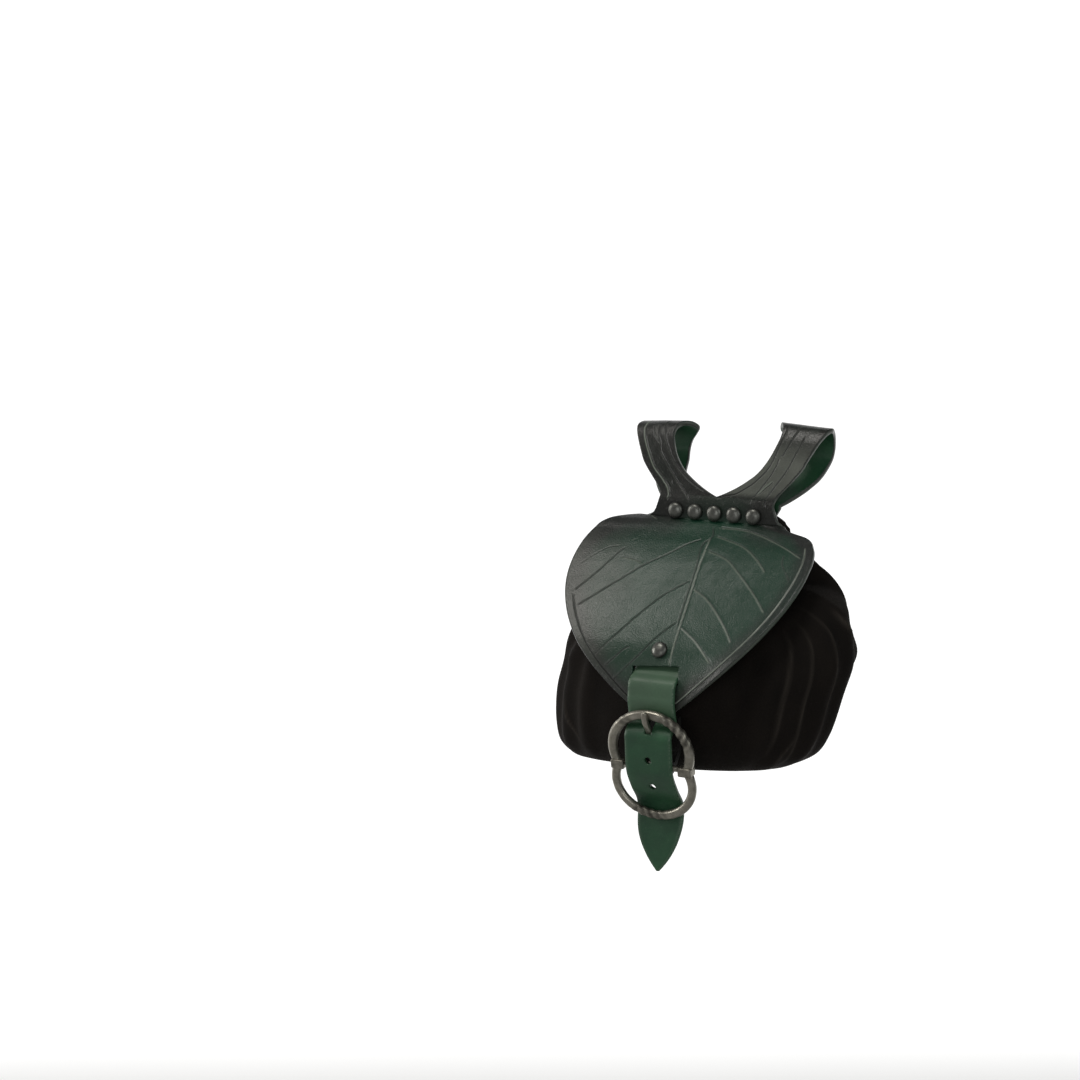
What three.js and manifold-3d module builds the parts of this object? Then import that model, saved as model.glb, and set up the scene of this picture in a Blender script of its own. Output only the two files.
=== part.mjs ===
// A leather and velvet belt pouch, closed, as it hangs from a belt. Millimetres, +Z up, front towards -Y.
// The origin is the seat of the belt: midway between the two loops, under their folds.
import * as THREE from "three";
import { mergeVertices } from "three/addons/utils/BufferGeometryUtils.js";
import Module from "manifold-3d";

const wasm = await Module();
wasm.setup();

// Thicknesses and fits
const leather = 2.6;
const strapThick = 2.4;
const cloth = 1.6;
const clearance = 0.3;
const clothGap = 0.6;

// Yoke and belt loops
const rowDrop = 43;
const loopReach = 31.5;
const loopSpread = 56;
const loopUneven = 3;
const innerLift = 1.8;
const endTab = 8;
const endMargin = 9.4;

// Leaf
const leafLength = 97;
const leafWidth = 132;
const leafReach = 66;
const leafDish = 15;

// Bag
const bagHeight = 129;
const bagWidth = 160;
const bagDepth = 70;
const bagFront = 58;
const foldDepth = 4.5;
const foldSink = 1.575;
const sideSquare = 0.12;

// Rivets
const rivetPitch = 11.3;
const rivetCount = 5;
const capWidth = 8.5;
const capHeight = 2.6;
const backCapWidth = 7.3;
const shankWidth = 3;
const backCapHeight = 1.2;
const flapRivetDrop = 62.8;

// Closing strap
const strapWidth = 26.5;
const strapEndDrop = 54;
const slitDrop = 74.6;
const slitHeight = 9.6;
const slitTurn = -5;
const tipLength = 34;
const strapTail = 53;
const holeWidth = 3.6;
const firstHole = 5.2;
const holePitch = 15.5;
const slitEase = 4;
const overProngEase = 0.2;

// Buckle
const buckleDrop = 121.2;
const buckleSetForward = 1.6;
const buckleLean = 11;
const buckleWidth = 48.5;
const upperLobe = 31;
const lowerLobe = 29;
const rimWidth = 4.9;
const rimThick = 4.4;
const waistShare = 0.88;
const barWidth = 3;
const barSetBack = 1.2;
const knobWidth = 7.4;
const knobHeight = 4.8;
const knobThick = 6.2;

// Prong and tab
const prongWidth = 3.4;
const prongThick = 2.4;
const prongLoop = 1.5;
const tabWidth = 21;
const tabLoop = 1.5;
const tabThick = 3.2;
const tabLength = 25;
const tabInset = 0.6;
const tabTurn = 7.26;
const tabFlat = 15;

// Fineness of the faceted solids
const leafColumns = 6;
const strapColumns = 4;
const bagColumns = 60;
const bagLevels = 17;
const rimSides = 8;
const rivetSides = 12;
const holeSides = 10;
const ringSides = 14;
const lobeSteps = 20;
const strapSteps = 34;
const prongSteps = 18;
const tabSteps = 10;

const leafHalf = leafWidth / 2;
const rowZ = -rowDrop;

const degrees = (turn) => (turn * Math.PI) / 180;
const mix = (from, to, share) => from + (to - from) * share;

// A smooth value in one column of a table, at a place along its first column
function lookUp(rows, along, column, place) {
  let i = 0;
  while (i < rows.length - 2 && rows[i + 1][along] < place) i += 1;
  const slope = (a, b) => (rows[b][column] - rows[a][column]) / (rows[b][along] - rows[a][along]);
  const span = rows[i + 1][along] - rows[i][along];
  const here = slope(i, i + 1);
  const before = i > 0 ? (slope(i - 1, i) + here) / 2 : here;
  const after = i < rows.length - 2 ? (here + slope(i + 1, i + 2)) / 2 : here;
  const t = Math.min(Math.max((place - rows[i][along]) / span, 0), 1);
  const start = rows[i][column] * (2 * t ** 3 - 3 * t ** 2 + 1) + before * span * (t ** 3 - 2 * t ** 2 + t);
  return start + rows[i + 1][column] * (3 * t ** 2 - 2 * t ** 3) + after * span * (t ** 3 - t ** 2);
}

// Triangles gathered face by face, with the corners merged at the end
class Skin {
  constructor() {
    this.corners = [];
  }

  triangle(a, b, c) {
    this.corners.push(a, b, c);
  }

  quad(a, b, c, d) {
    this.triangle(a, b, c);
    this.triangle(a, c, d);
  }

  geometry() {
    const places = this.corners.flatMap((corner) => [corner.x, corner.y, corner.z]);
    const shape = new THREE.BufferGeometry();
    shape.setAttribute("position", new THREE.Float32BufferAttribute(places, 3));
    return mergeVertices(shape, 1e-3);
  }
}

function toSolid(shape) {
  const bare = shape.clone();
  bare.deleteAttribute("normal");
  bare.deleteAttribute("uv");
  const merged = mergeVertices(bare, 1e-3);
  const solid = new wasm.Mesh({
    numProp: 3,
    vertProperties: new Float32Array(merged.attributes.position.array),
    triVerts: new Uint32Array(merged.index.array),
  });
  return new wasm.Manifold(solid);
}

function fromSolid(solid) {
  const mesh = solid.getMesh();
  const shape = new THREE.BufferGeometry();
  shape.setAttribute("position", new THREE.BufferAttribute(mesh.vertProperties, 3));
  shape.setIndex(new THREE.BufferAttribute(mesh.triVerts, 1));
  return shape;
}

const cutAway = (shape, tools) =>
  fromSolid(tools.reduce((rest, tool) => rest.subtract(toSolid(tool)), toSolid(shape)));

const fuse = (shapes) =>
  fromSolid(shapes.slice(1).reduce((all, next) => all.add(toSolid(next)), toSolid(shapes[0])));

// Unit normals of a grid of points, from the neighbours in both directions
function gridNormals(grid) {
  const last = grid.length - 1;
  return grid.map((row, i) =>
    row.map((point, j) => {
      const up = grid[Math.min(i + 1, last)][j].clone().sub(grid[Math.max(i - 1, 0)][j]);
      const across = row[Math.min(j + 1, row.length - 1)].clone().sub(row[Math.max(j - 1, 0)]);
      return across.cross(up).normalize();
    })
  );
}

const offsetGrid = (grid, normals, distance) =>
  grid.map((row, i) => row.map((point, j) => point.clone().addScaledVector(normals[i][j], distance)));

// Leaf: rows from the row of rivets down to the point, as shares of its length, half width, reach and dish.
// The right shoulder starts a little lower than the left one.
const leafRows = [
  { drop: 0.0, left: 0.524, right: 0.524, reach: 0.0, dish: 0.0 },
  { drop: 0.028, left: 0.562, right: 0.545, reach: 0.0, dish: 0.0 },
  { drop: 0.048, left: 0.66, right: 0.59, reach: 0.0, dish: 0.0 },
  { drop: 0.057, left: 0.77, right: 0.625, reach: 0.016, dish: 0.2 },
  { drop: 0.066, left: 0.855, right: 0.665, reach: 0.036, dish: 0.34 },
  { drop: 0.084, left: 0.92, right: 0.86, reach: 0.072, dish: 0.42 },
  { drop: 0.116, left: 0.958, right: 0.95, reach: 0.134, dish: 0.44 },
  { drop: 0.164, left: 0.988, right: 1.0, reach: 0.234, dish: 0.44 },
  { drop: 0.22, left: 1.0, right: 1.01, reach: 0.336, dish: 0.45 },
  { drop: 0.275, left: 0.999, right: 1.004, reach: 0.422, dish: 0.48 },
  { drop: 0.33, left: 0.984, right: 0.984, reach: 0.502, dish: 0.53 },
  { drop: 0.39, left: 0.95, right: 0.95, reach: 0.59, dish: 0.58 },
  { drop: 0.45, left: 0.902, right: 0.902, reach: 0.674, dish: 0.63 },
  { drop: 0.51, left: 0.843, right: 0.843, reach: 0.752, dish: 0.68 },
  { drop: 0.57, left: 0.774, right: 0.774, reach: 0.824, dish: 0.72 },
  { drop: 0.63, left: 0.696, right: 0.696, reach: 0.888, dish: 0.77 },
  { drop: 0.69, left: 0.61, right: 0.61, reach: 0.934, dish: 0.83 },
  { drop: 0.75, left: 0.518, right: 0.518, reach: 0.966, dish: 0.9 },
  { drop: 0.81, left: 0.42, right: 0.42, reach: 0.985, dish: 0.96 },
  { drop: 0.87, left: 0.318, right: 0.318, reach: 0.995, dish: 1.0 },
  { drop: 0.93, left: 0.205, right: 0.205, reach: 0.994, dish: 1.0 },
  { drop: 0.975, left: 0.115, right: 0.115, reach: 0.984, dish: 1.0 },
  { drop: 1.0, left: 0.045, right: 0.045, reach: 0.976, dish: 1.0 },
];

// The middle surface of the leaf: it comes forward in the middle, and its wings stand further forward still
function leafPoint(x, drop) {
  const reach = lookUp(leafRows, "drop", "reach", drop) * leafReach;
  const dish = lookUp(leafRows, "drop", "dish", drop) * leafDish;
  return new THREE.Vector3(x, -reach - dish * (x / leafHalf) ** 2, rowZ - drop * leafLength);
}

// The leaf's own axes at its centre line: a frame with x across, y along the outward normal, z up the leaf
function leafFrame(drop) {
  const step = 0.01;
  const up = leafPoint(0, drop - step).sub(leafPoint(0, drop + step)).normalize();
  const across = new THREE.Vector3(1, 0, 0);
  const back = up.clone().cross(across);
  const frame = new THREE.Matrix4().makeBasis(across, back, up);
  return frame.setPosition(leafPoint(0, drop));
}

// Yoke and loop: rows from above the rivets, over the fold and down to the strap's riveted end.
// height is a share of the drop of the rivet row, back of the loop's reach, near and far of its spread.
const loopRows = [
  { height: 0.1, back: 0.0, near: 0.0, far: 0.59 },
  { height: 0.145, back: 0.022, near: 0.0, far: 0.582 },
  { height: 0.186, back: 0.048, near: 0.0, far: 0.586 },
  { height: 0.25, back: 0.08, near: 0.115, far: 0.612 },
  { height: 0.32, back: 0.112, near: 0.215, far: 0.655 },
  { height: 0.4, back: 0.144, near: 0.308, far: 0.708 },
  { height: 0.48, back: 0.176, near: 0.385, far: 0.76 },
  { height: 0.58, back: 0.214, near: 0.45, far: 0.816 },
  { height: 0.69, back: 0.262, near: 0.502, far: 0.858 },
  { height: 0.8, back: 0.322, near: 0.538, far: 0.9 },
  { height: 0.9, back: 0.39, near: 0.562, far: 0.938 },
  { height: 0.98, back: 0.48, near: 0.558, far: 0.972 },
  { height: 1.022, back: 0.57, near: 0.53, far: 0.992 },
  { height: 1.03, back: 0.66, near: 0.49, far: 1.0 },
  { height: 1.006, back: 0.77, near: 0.455, far: 0.984 },
  { height: 0.95, back: 0.876, near: 0.438, far: 0.966 },
  { height: 0.87, back: 0.95, near: 0.485, far: 0.95 },
  { height: 0.77, back: 0.992, near: 0.545, far: 0.936 },
  { height: 0.66, back: 0.985, near: 0.57, far: 0.918 },
  { height: 0.54, back: 0.88, near: 0.55, far: 0.892 },
  { height: 0.43, back: 0.73, near: 0.53, far: 0.858 },
  { height: 0.33, back: 0.556, near: 0.49, far: 0.8 },
  { height: 0.246, back: 0.39, near: 0.43, far: 0.735 },
  { height: 0.17, back: 0.235, near: 0.34, far: 0.66 },
  { height: 0.125, back: 0.168, near: 0.27, far: 0.61 },
];

// The strap's end lies flat behind the yoke and the cloth, through which the rivets pass. Shares of its tab.
const endRows = [
  { drop: -0.5, nearIn: 0.3, farOut: 0.3 },
  { drop: 0.0, nearIn: 0.0, farOut: 0.0 },
  { drop: 0.6, nearIn: 0.0, farOut: 0.0 },
  { drop: 1.0, nearIn: 0.3, farOut: -0.3 },
];
const endMiddle = leather / 2 + clothGap + cloth + clearance + leather / 2;
const endNear = rivetPitch / 2;
const endFar = ((rivetCount - 1) / 2) * rivetPitch + endMargin;

// The middle surface of one half of the leather, from the leaf's point to the strap's end
function flapGrid(side) {
  const columns = Array.from({ length: leafColumns + 1 }, (_, j) => j / leafColumns);
  const neckHeight = loopRows.filter((row) => row.near === 0).at(-1).height;
  const leaf = leafRows.map((row) => {
    const half = (side < 0 ? row.left : row.right) * leafHalf;
    return columns.map((share) => leafPoint(share * half, row.drop));
  });
  const loop = loopRows.map((row) => {
    const settle = side < 0 ? loopUneven * Math.max(0, row.height - neckHeight) : 0;
    const lift = innerLift * Math.max(0, row.height - neckHeight);
    const z = rowZ + row.height * rowDrop - settle;
    return columns.map((share) => {
      const x = mix(row.near, row.far, share) * loopSpread;
      return new THREE.Vector3(x, row.back * loopReach, z + lift * (1 - share));
    });
  });
  const end = endRows.map((row) =>
    columns.map((share) => {
      const x = mix(endNear + row.nearIn * endTab, endFar + row.farOut * endTab, share);
      return new THREE.Vector3(x, endMiddle, rowZ - row.drop * endTab);
    })
  );
  return [...leaf.reverse(), ...loop, ...end];
}

// The yoke leans back a little, the same on both sides of the V
const yokeNormal = new THREE.Vector3(0, -1, 0.22).normalize();

// Leather with its two faces, its cut edges and, above the V of the neck, the edges between the loops
function flapSkin() {
  const neckRow = leafRows.length + loopRows.filter((row) => row.near === 0).length - 1;
  const skin = new Skin();
  for (const side of [1, -1]) {
    const middle = flapGrid(side);
    const normals = gridNormals(middle);
    normals.forEach((row, i) => {
      if (i <= neckRow) row[0].setX(0).normalize();
      if (i === neckRow) row[0].copy(yokeNormal);
    });
    const front = offsetGrid(middle, normals, leather / 2);
    const back = offsetGrid(middle, normals, -leather / 2);
    const put = (a, b, c, d) => {
      const turned = [a, b, c, d].map((p) => new THREE.Vector3(p.x * side, p.y, p.z));
      if (side < 0) turned.reverse();
      skin.quad(...turned);
    };
    const last = middle.length - 1;
    for (let i = 0; i < last; i += 1) {
      for (let j = 0; j < leafColumns; j += 1) {
        put(front[i][j], front[i][j + 1], front[i + 1][j + 1], front[i + 1][j]);
        put(back[i][j], back[i + 1][j], back[i + 1][j + 1], back[i][j + 1]);
      }
      const j = leafColumns;
      put(front[i][j], back[i][j], back[i + 1][j], front[i + 1][j]);
      if (i >= neckRow) put(front[i][0], front[i + 1][0], back[i + 1][0], back[i][0]);
    }
    for (let j = 0; j < leafColumns; j += 1) {
      put(front[0][j], back[0][j], back[0][j + 1], front[0][j + 1]);
      put(front[last][j], front[last][j + 1], back[last][j + 1], back[last][j]);
    }
  }
  return skin.geometry();
}

// A round tool for a hole, along the y axis
function holeTool(width, length, frame) {
  const tool = new THREE.CylinderGeometry(width / 2, width / 2, length, holeSides);
  return tool.applyMatrix4(frame);
}

const rivetX = (i) => (i - (rivetCount - 1) / 2) * rivetPitch;
const shankHole = shankWidth + 2 * clearance;
const toolLength = 4 * (leather + cloth + leather);

function rowHoles() {
  return Array.from({ length: rivetCount }, (_, i) =>
    holeTool(shankHole, toolLength, new THREE.Matrix4().makeTranslation(rivetX(i), 0, rowZ))
  );
}

const rivetDrop = flapRivetDrop / leafLength;
const flapHole = () => holeTool(shankHole, toolLength, leafFrame(rivetDrop));

function slitTool() {
  const box = new THREE.BoxGeometry(strapWidth + 2 * clearance, toolLength, slitHeight);
  box.rotateY(degrees(slitTurn));
  return box.applyMatrix4(leafFrame(slitDrop / leafLength));
}

// Bag: sections from the floor up to below the mouth, as shares of its width, depth and height, with
// square for how flat the back is. A section is lower in front, where the flap comes down, and it tilts.
const bagRows = [
  { left: 0.2, right: 0.22, front: 0.66, back: 0.22,
    square: 0.12, frontZ: 0.992, backZ: 0.992, tilt: 0.02 },
  { left: 0.415, right: 0.35, front: 0.8, back: 0.4,
    square: 0.12, frontZ: 0.978, backZ: 0.975, tilt: 0.034 },
  { left: 0.474, right: 0.425, front: 0.905, back: 0.62,
    square: 0.12, frontZ: 0.925, backZ: 0.93, tilt: 0.036 },
  { left: 0.478, right: 0.47, front: 0.975, back: 0.8,
    square: 0.12, frontZ: 0.84, backZ: 0.84, tilt: 0.03 },
  { left: 0.466, right: 0.51, front: 1.0, back: 0.9,
    square: 0.12, frontZ: 0.7, backZ: 0.68, tilt: 0.03 },
  { left: 0.442, right: 0.543, front: 0.985, back: 0.88,
    square: 0.16, frontZ: 0.61, backZ: 0.47, tilt: 0.045 },
  { left: 0.428, right: 0.516, front: 0.9, back: 0.68,
    square: 0.3, frontZ: 0.53, backZ: 0.29, tilt: 0.06 },
  { left: 0.366, right: 0.425, front: 0.82, back: 0.0,
    square: 0.8, frontZ: 0.46, backZ: 0.13, tilt: 0.05 },
];

// Mouth: from the middle of the back, where the cloth is riveted behind the yoke, round to the front
const mouthRows = [
  { turn: 0, side: 0.0, forward: 0.0, drop: -0.035 },
  { turn: 25, side: 0.15, forward: 0.0, drop: -0.035 },
  { turn: 38, side: 0.196, forward: 0.0, drop: -0.015 },
  { turn: 50, side: 0.243, forward: 0.0, drop: 0.045 },
  { turn: 64, side: 0.28, forward: 0.1, drop: 0.125 },
  { turn: 84, side: 0.3, forward: 0.3, drop: 0.215 },
  { turn: 110, side: 0.272, forward: 0.54, drop: 0.3 },
  { turn: 140, side: 0.18, forward: 0.74, drop: 0.372 },
  { turn: 180, side: 0.0, forward: 0.83, drop: 0.405 },
];

// Folds of the gathered cloth: turn is seen from above, 0 at the front and growing to the viewer's right
const foldRows = [
  { turn: 38, lean: 6, depth: 0.75, spread: 6.5 },
  { turn: 55, lean: -3, depth: 0.9, spread: 7 },
  { turn: 71, lean: -5, depth: 1.0, spread: 7.5 },
  { turn: 92, lean: -8, depth: 0.8, spread: 7 },
  { turn: 114, lean: -4, depth: 0.6, spread: 8 },
  { turn: 140, lean: 4, depth: 0.55, spread: 8 },
  { turn: 163, lean: 3, depth: 0.5, spread: 8 },
  { turn: 190, lean: 0, depth: 0.5, spread: 8 },
  { turn: 214, lean: -4, depth: 0.6, spread: 8 },
  { turn: 238, lean: 3, depth: 0.7, spread: 7 },
  { turn: 262, lean: 6, depth: 0.85, spread: 7 },
  { turn: 283, lean: 5, depth: 0.9, spread: 7.5 },
  { turn: 304, lean: 3, depth: 0.7, spread: 7 },
  { turn: 321, lean: -3, depth: 0.55, spread: 6 },
];

const backFace = leather / 2 + clothGap + cloth;
const bagBack = bagDepth - bagFront;

function bagSection(row, turn) {
  const [s, c] = [Math.sin(turn), Math.cos(turn)];
  const round = (value, square) => Math.sign(value) * Math.abs(value) ** (1 - square);
  const front = -row.front * bagFront;
  const back = mix(backFace, bagBack, row.back);
  const [wall, square] = c > 0 ? [front, sideSquare] : [back, row.square];
  const y = mix((front + back) / 2, wall, Math.abs(round(c, square)));
  const x = round(s, sideSquare) * (s > 0 ? row.right : row.left) * bagWidth;
  const down = mix(row.backZ, row.frontZ, (c + 1) / 2) - (row.tilt * x) / (bagWidth / 2);
  return new THREE.Vector3(x, y, rowZ - down * bagHeight);
}

function mouthPoint(turn) {
  const fromBack = Math.abs(180 - (turn * 180) / Math.PI);
  const value = (column) => lookUp(mouthRows, "turn", column, fromBack);
  const side = turn < Math.PI ? 1 : -1;
  return new THREE.Vector3(
    side * value("side") * bagWidth,
    backFace - value("forward") * bagFront,
    rowZ - value("drop") * bagHeight
  );
}

// The folds fade out towards the floor, the mouth and the flat back, where the bag lies against the wearer
const foldTop = 0.9;
const foldEven = 0.8;
const backTurn = -0.5;
const backFade = 1.25;
const floorFade = 4;
const mouthFade = 8;

// How far the cloth stands out at a turn, between its level at the floor, 0, and at the mouth, 1
function foldHeight(turn, level) {
  const turnNow = (turn * 180) / Math.PI;
  const strength = Math.sin(Math.PI * level * foldTop) ** foldEven;
  const sum = foldRows.reduce((all, fold) => {
    const away = Math.abs(turnNow - fold.turn - fold.lean * (level - 0.5));
    const gap = Math.min(away, 360 - away) / fold.spread;
    return all + fold.depth * Math.exp(-gap * gap);
  }, 0);
  return sum * strength * foldDepth;
}

function bagPoint(turn, level) {
  const keys = bagRows.map((row) => bagSection(row, turn));
  keys.push(mouthPoint(turn));
  const route = new THREE.CatmullRomCurve3(keys, false, "centripetal");
  const point = route.getPoint(level);
  const outward = new THREE.Vector3(Math.sin(turn), -Math.cos(turn), 0);
  const nearYoke = Math.cos(turn) < backTurn ? Math.max(0, 1 - level * backFade) : 1;
  const fade = Math.min(1, level * floorFade) * Math.min(1, (1 - level) * mouthFade);
  return point.addScaledVector(outward, (foldHeight(turn, level) - foldSink) * nearYoke * fade);
}

// The bag's outer face, a wall's thickness, and its inner face, joined round the mouth
function bagSkin() {
  const turns = Array.from({ length: bagColumns }, (_, j) => (j / bagColumns) * 2 * Math.PI);
  const levels = Array.from({ length: bagLevels + 1 }, (_, i) => i / bagLevels);
  const outer = levels.map((level) => turns.map((turn) => bagPoint(turn, level)));
  const wrap = (j) => (j + bagColumns) % bagColumns;
  const inner = outer.map((row, i) =>
    row.map((point, j) => {
      const up = outer[Math.min(i + 1, bagLevels)][j].clone().sub(outer[Math.max(i - 1, 0)][j]);
      const across = row[wrap(j + 1)].clone().sub(row[wrap(j - 1)]);
      return point.clone().addScaledVector(across.cross(up).normalize(), -cloth);
    })
  );
  const middle = (row) => row.reduce((sum, p) => sum.add(p), new THREE.Vector3()).divideScalar(row.length);
  const floor = middle(outer[0]).setZ(rowZ - bagHeight);
  const skin = new Skin();
  for (let j = 0; j < bagColumns; j += 1) {
    const k = wrap(j + 1);
    skin.triangle(floor, outer[0][k], outer[0][j]);
    skin.triangle(floor.clone().setZ(floor.z + cloth), inner[0][j], inner[0][k]);
    for (let i = 0; i < bagLevels; i += 1) {
      skin.quad(outer[i][j], outer[i][k], outer[i + 1][k], outer[i + 1][j]);
      skin.quad(inner[i][j], inner[i + 1][j], inner[i + 1][k], inner[i][k]);
    }
    skin.quad(outer[bagLevels][j], outer[bagLevels][k], inner[bagLevels][k], inner[bagLevels][j]);
  }
  return skin.geometry();
}

// The domed cap of a rivet, as shares of its half width and its height
const capRows = [
  { out: 0.0, up: 1.0 },
  { out: 0.55, up: 0.86 },
  { out: 0.88, up: 0.5 },
  { out: 1.0, up: 0.12 },
  { out: 0.94, up: 0.0 },
];

// Rivet: the domed cap, a shank through what it holds, and a flat cap behind. The y axis points to the back.
function rivetShape(grip) {
  const shank = shankWidth / 2;
  const cap = capRows.map((row) => new THREE.Vector2((row.out * capWidth) / 2, -row.up * capHeight));
  const behind = [
    new THREE.Vector2(shank, 0),
    new THREE.Vector2(shank, grip),
    new THREE.Vector2(backCapWidth / 2, grip),
    new THREE.Vector2(backCapWidth / 2 - clearance, grip + backCapHeight),
    new THREE.Vector2(0, grip + backCapHeight),
  ];
  return new THREE.LatheGeometry([...cap, ...behind], rivetSides);
}

const yokeGrip = leather + cloth + leather + clothGap + 3 * clearance;
const middleGrip = leather + cloth + clothGap + 2 * clearance;
const flapGrip = leather + strapThick + 4 * clearance;

// Buckle frame axes: x across, y out of the front, z up the frame
const lean = degrees(buckleLean);
const frameUp = new THREE.Vector3(0, -Math.sin(lean), Math.cos(lean));
const frameOut = new THREE.Vector3(0, -Math.cos(lean), -Math.sin(lean));
const frameMiddle = new THREE.Vector3(0, -leafReach - buckleSetForward, rowZ - buckleDrop);

const onFrame = (x, out, up) =>
  frameMiddle.clone().addScaledVector(frameOut, out).addScaledVector(frameUp, up).setX(x);

// One lobe of the rim: an arc of an ellipse that starts and ends at the waist
function lobePoints(height, turnSign) {
  const halfWide = (buckleWidth - rimWidth) / 2;
  const reachUp = height - rimWidth / 2;
  const sink = Math.sqrt(1 - waistShare ** 2);
  const halfHigh = reachUp / (1 + sink);
  const start = -Math.asin(sink);
  const points = [];
  for (let i = 0; i < lobeSteps; i += 1) {
    const angle = mix(start, Math.PI - start, i / lobeSteps);
    const up = halfHigh * (sink + Math.sin(angle));
    points.push([turnSign * halfWide * Math.cos(angle), turnSign * up]);
  }
  return points;
}

function rimShape() {
  const route = [...lobePoints(upperLobe, 1), ...lobePoints(lowerLobe, -1)];
  const count = route.length;
  const rings = route.map(([x, up], i) => {
    const [beforeX, beforeUp] = route[(i + count - 1) % count];
    const [afterX, afterUp] = route[(i + 1) % count];
    const outward = new THREE.Vector2(afterUp - beforeUp, beforeX - afterX).normalize();
    return Array.from({ length: rimSides }, (_, j) => {
      const angle = (j / rimSides) * 2 * Math.PI;
      const side = (Math.cos(angle) * rimWidth) / 2;
      return onFrame(x + outward.x * side, (Math.sin(angle) * rimThick) / 2, up + outward.y * side);
    });
  });
  const skin = new Skin();
  rings.forEach((ring, i) => {
    const next = rings[(i + 1) % count];
    ring.forEach((point, j) => {
      const k = (j + 1) % rimSides;
      skin.quad(point, next[j], next[k], ring[k]);
    });
  });
  return skin.geometry();
}

const placeOnFrame = (shape, x, out, up) => {
  const across = new THREE.Vector3(1, 0, 0);
  const back = frameOut.clone().negate();
  const matrix = new THREE.Matrix4().makeBasis(across, back, frameUp).setPosition(onFrame(x, out, up));
  return shape.applyMatrix4(matrix);
};

const waistX = ((buckleWidth - rimWidth) / 2) * waistShare;

function buckleShape() {
  const knobs = [1, -1].map((side) =>
    placeOnFrame(new THREE.BoxGeometry(knobWidth, knobThick, knobHeight), side * waistX, 0, 0)
  );
  const barRadius = barWidth / 2;
  const bar = new THREE.CylinderGeometry(barRadius, barRadius, 2 * waistX, holeSides);
  bar.rotateZ(Math.PI / 2);
  return fuse([rimShape(), ...knobs, placeOnFrame(bar, 0, -barSetBack, 0)]);
}

// A flat band of even thickness in the side view, along a list of points, from its own outline
function bandOutline(points, thick) {
  const edge = (side) =>
    points.map((point, i) => {
      const before = points[Math.max(i - 1, 0)];
      const after = points[Math.min(i + 1, points.length - 1)];
      const along = after.clone().sub(before).normalize();
      return point.clone().add(new THREE.Vector2(-along.y, along.x).multiplyScalar((side * thick) / 2));
    });
  return [...edge(1), ...edge(-1).reverse()];
}

// Turns an outline of the side view, drawn out and up from the bar, into a piece of the given width
function fromSide(outline, width) {
  const body = new THREE.ExtrudeGeometry(new THREE.Shape(outline), { depth: width, bevelEnabled: false });
  const matrix = new THREE.Matrix4().makeBasis(frameOut, frameUp, new THREE.Vector3(-1, 0, 0));
  return body.translate(0, 0, -width / 2).applyMatrix4(matrix.setPosition(onFrame(0, -barSetBack, 0)));
}

// A ring round the bar
function sideRing(inside, wall, width) {
  const corners = [
    new THREE.Vector2(inside, -width / 2),
    new THREE.Vector2(inside + wall, -width / 2),
    new THREE.Vector2(inside + wall, width / 2),
    new THREE.Vector2(inside, width / 2),
  ];
  const ring = new THREE.LatheGeometry([...corners, corners[0]], ringSides);
  return placeOnFrame(ring.rotateZ(Math.PI / 2), 0, -barSetBack, 0);
}

// Prong: out and up from the bar, behind the strap, through its hole and over the upper rim
const loopRadius = barWidth / 2 + clearance;
const rimFront = rimThick / 2 + barSetBack + clearance + prongThick / 2;
const prongStart = loopRadius + prongLoop / 2;
const prongRows = [
  { out: 0.05, up: prongStart / upperLobe },
  { out: 0.1, up: 0.26 },
  { out: 0.16, up: 0.44 },
  { out: 0.22, up: 0.57 },
  { out: 0.45, up: 0.68 },
  { out: 0.82, up: 0.79 },
  { out: 1.0, up: 0.9 },
  { out: 1.0, up: 1.02 },
];

// The prong's arm, as shares of how far it stands out over the rim and of the upper lobe's height
function prongShape(grow) {
  const places = prongRows.map((row) => new THREE.Vector2(row.out * rimFront, row.up * upperLobe));
  const route = new THREE.SplineCurve(places).getPoints(prongSteps);
  return fromSide(bandOutline(route, prongThick + 2 * grow), prongWidth + 2 * grow);
}

const prongBody = () => fuse([sideRing(loopRadius, prongLoop, prongWidth), prongShape(0)]);

// Tab: a loop of leather round the bar on both sides of the prong, and its leg up the front of the bag
function tabShape() {
  const radius = loopRadius + tabLoop;
  const slotDepth = 4 * radius;
  const bar = onFrame(0, -barSetBack, 0);
  const seatY = foldSink - bagFront - clearance - tabThick / 2;
  const toSide = (y, z) => {
    const away = new THREE.Vector3(0, y, z).sub(bar);
    return new THREE.Vector2(away.dot(frameOut), away.dot(frameUp));
  };
  const route = [
    new THREE.Vector2(-radius + tabInset, 0),
    toSide(seatY, bar.z + tabTurn),
    toSide(seatY, bar.z + tabFlat),
    toSide(seatY, bar.z + tabLength),
  ];
  const smooth = new THREE.SplineCurve(route).getPoints(tabSteps);
  const leg = fromSide(bandOutline(smooth, tabThick), tabWidth);
  const body = fuse([sideRing(loopRadius, tabLoop, tabWidth), leg]);
  const slot = new THREE.BoxGeometry(prongWidth + 2 * clearance, slotDepth, slotDepth);
  const bore = new THREE.CylinderGeometry(loopRadius, loopRadius, tabWidth * 2, ringSides);
  bore.rotateZ(Math.PI / 2);
  const tools = [placeOnFrame(slot, 0, 0, 0), placeOnFrame(bore, 0, -barSetBack, 0)];
  return cutAway(body, tools);
}

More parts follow.
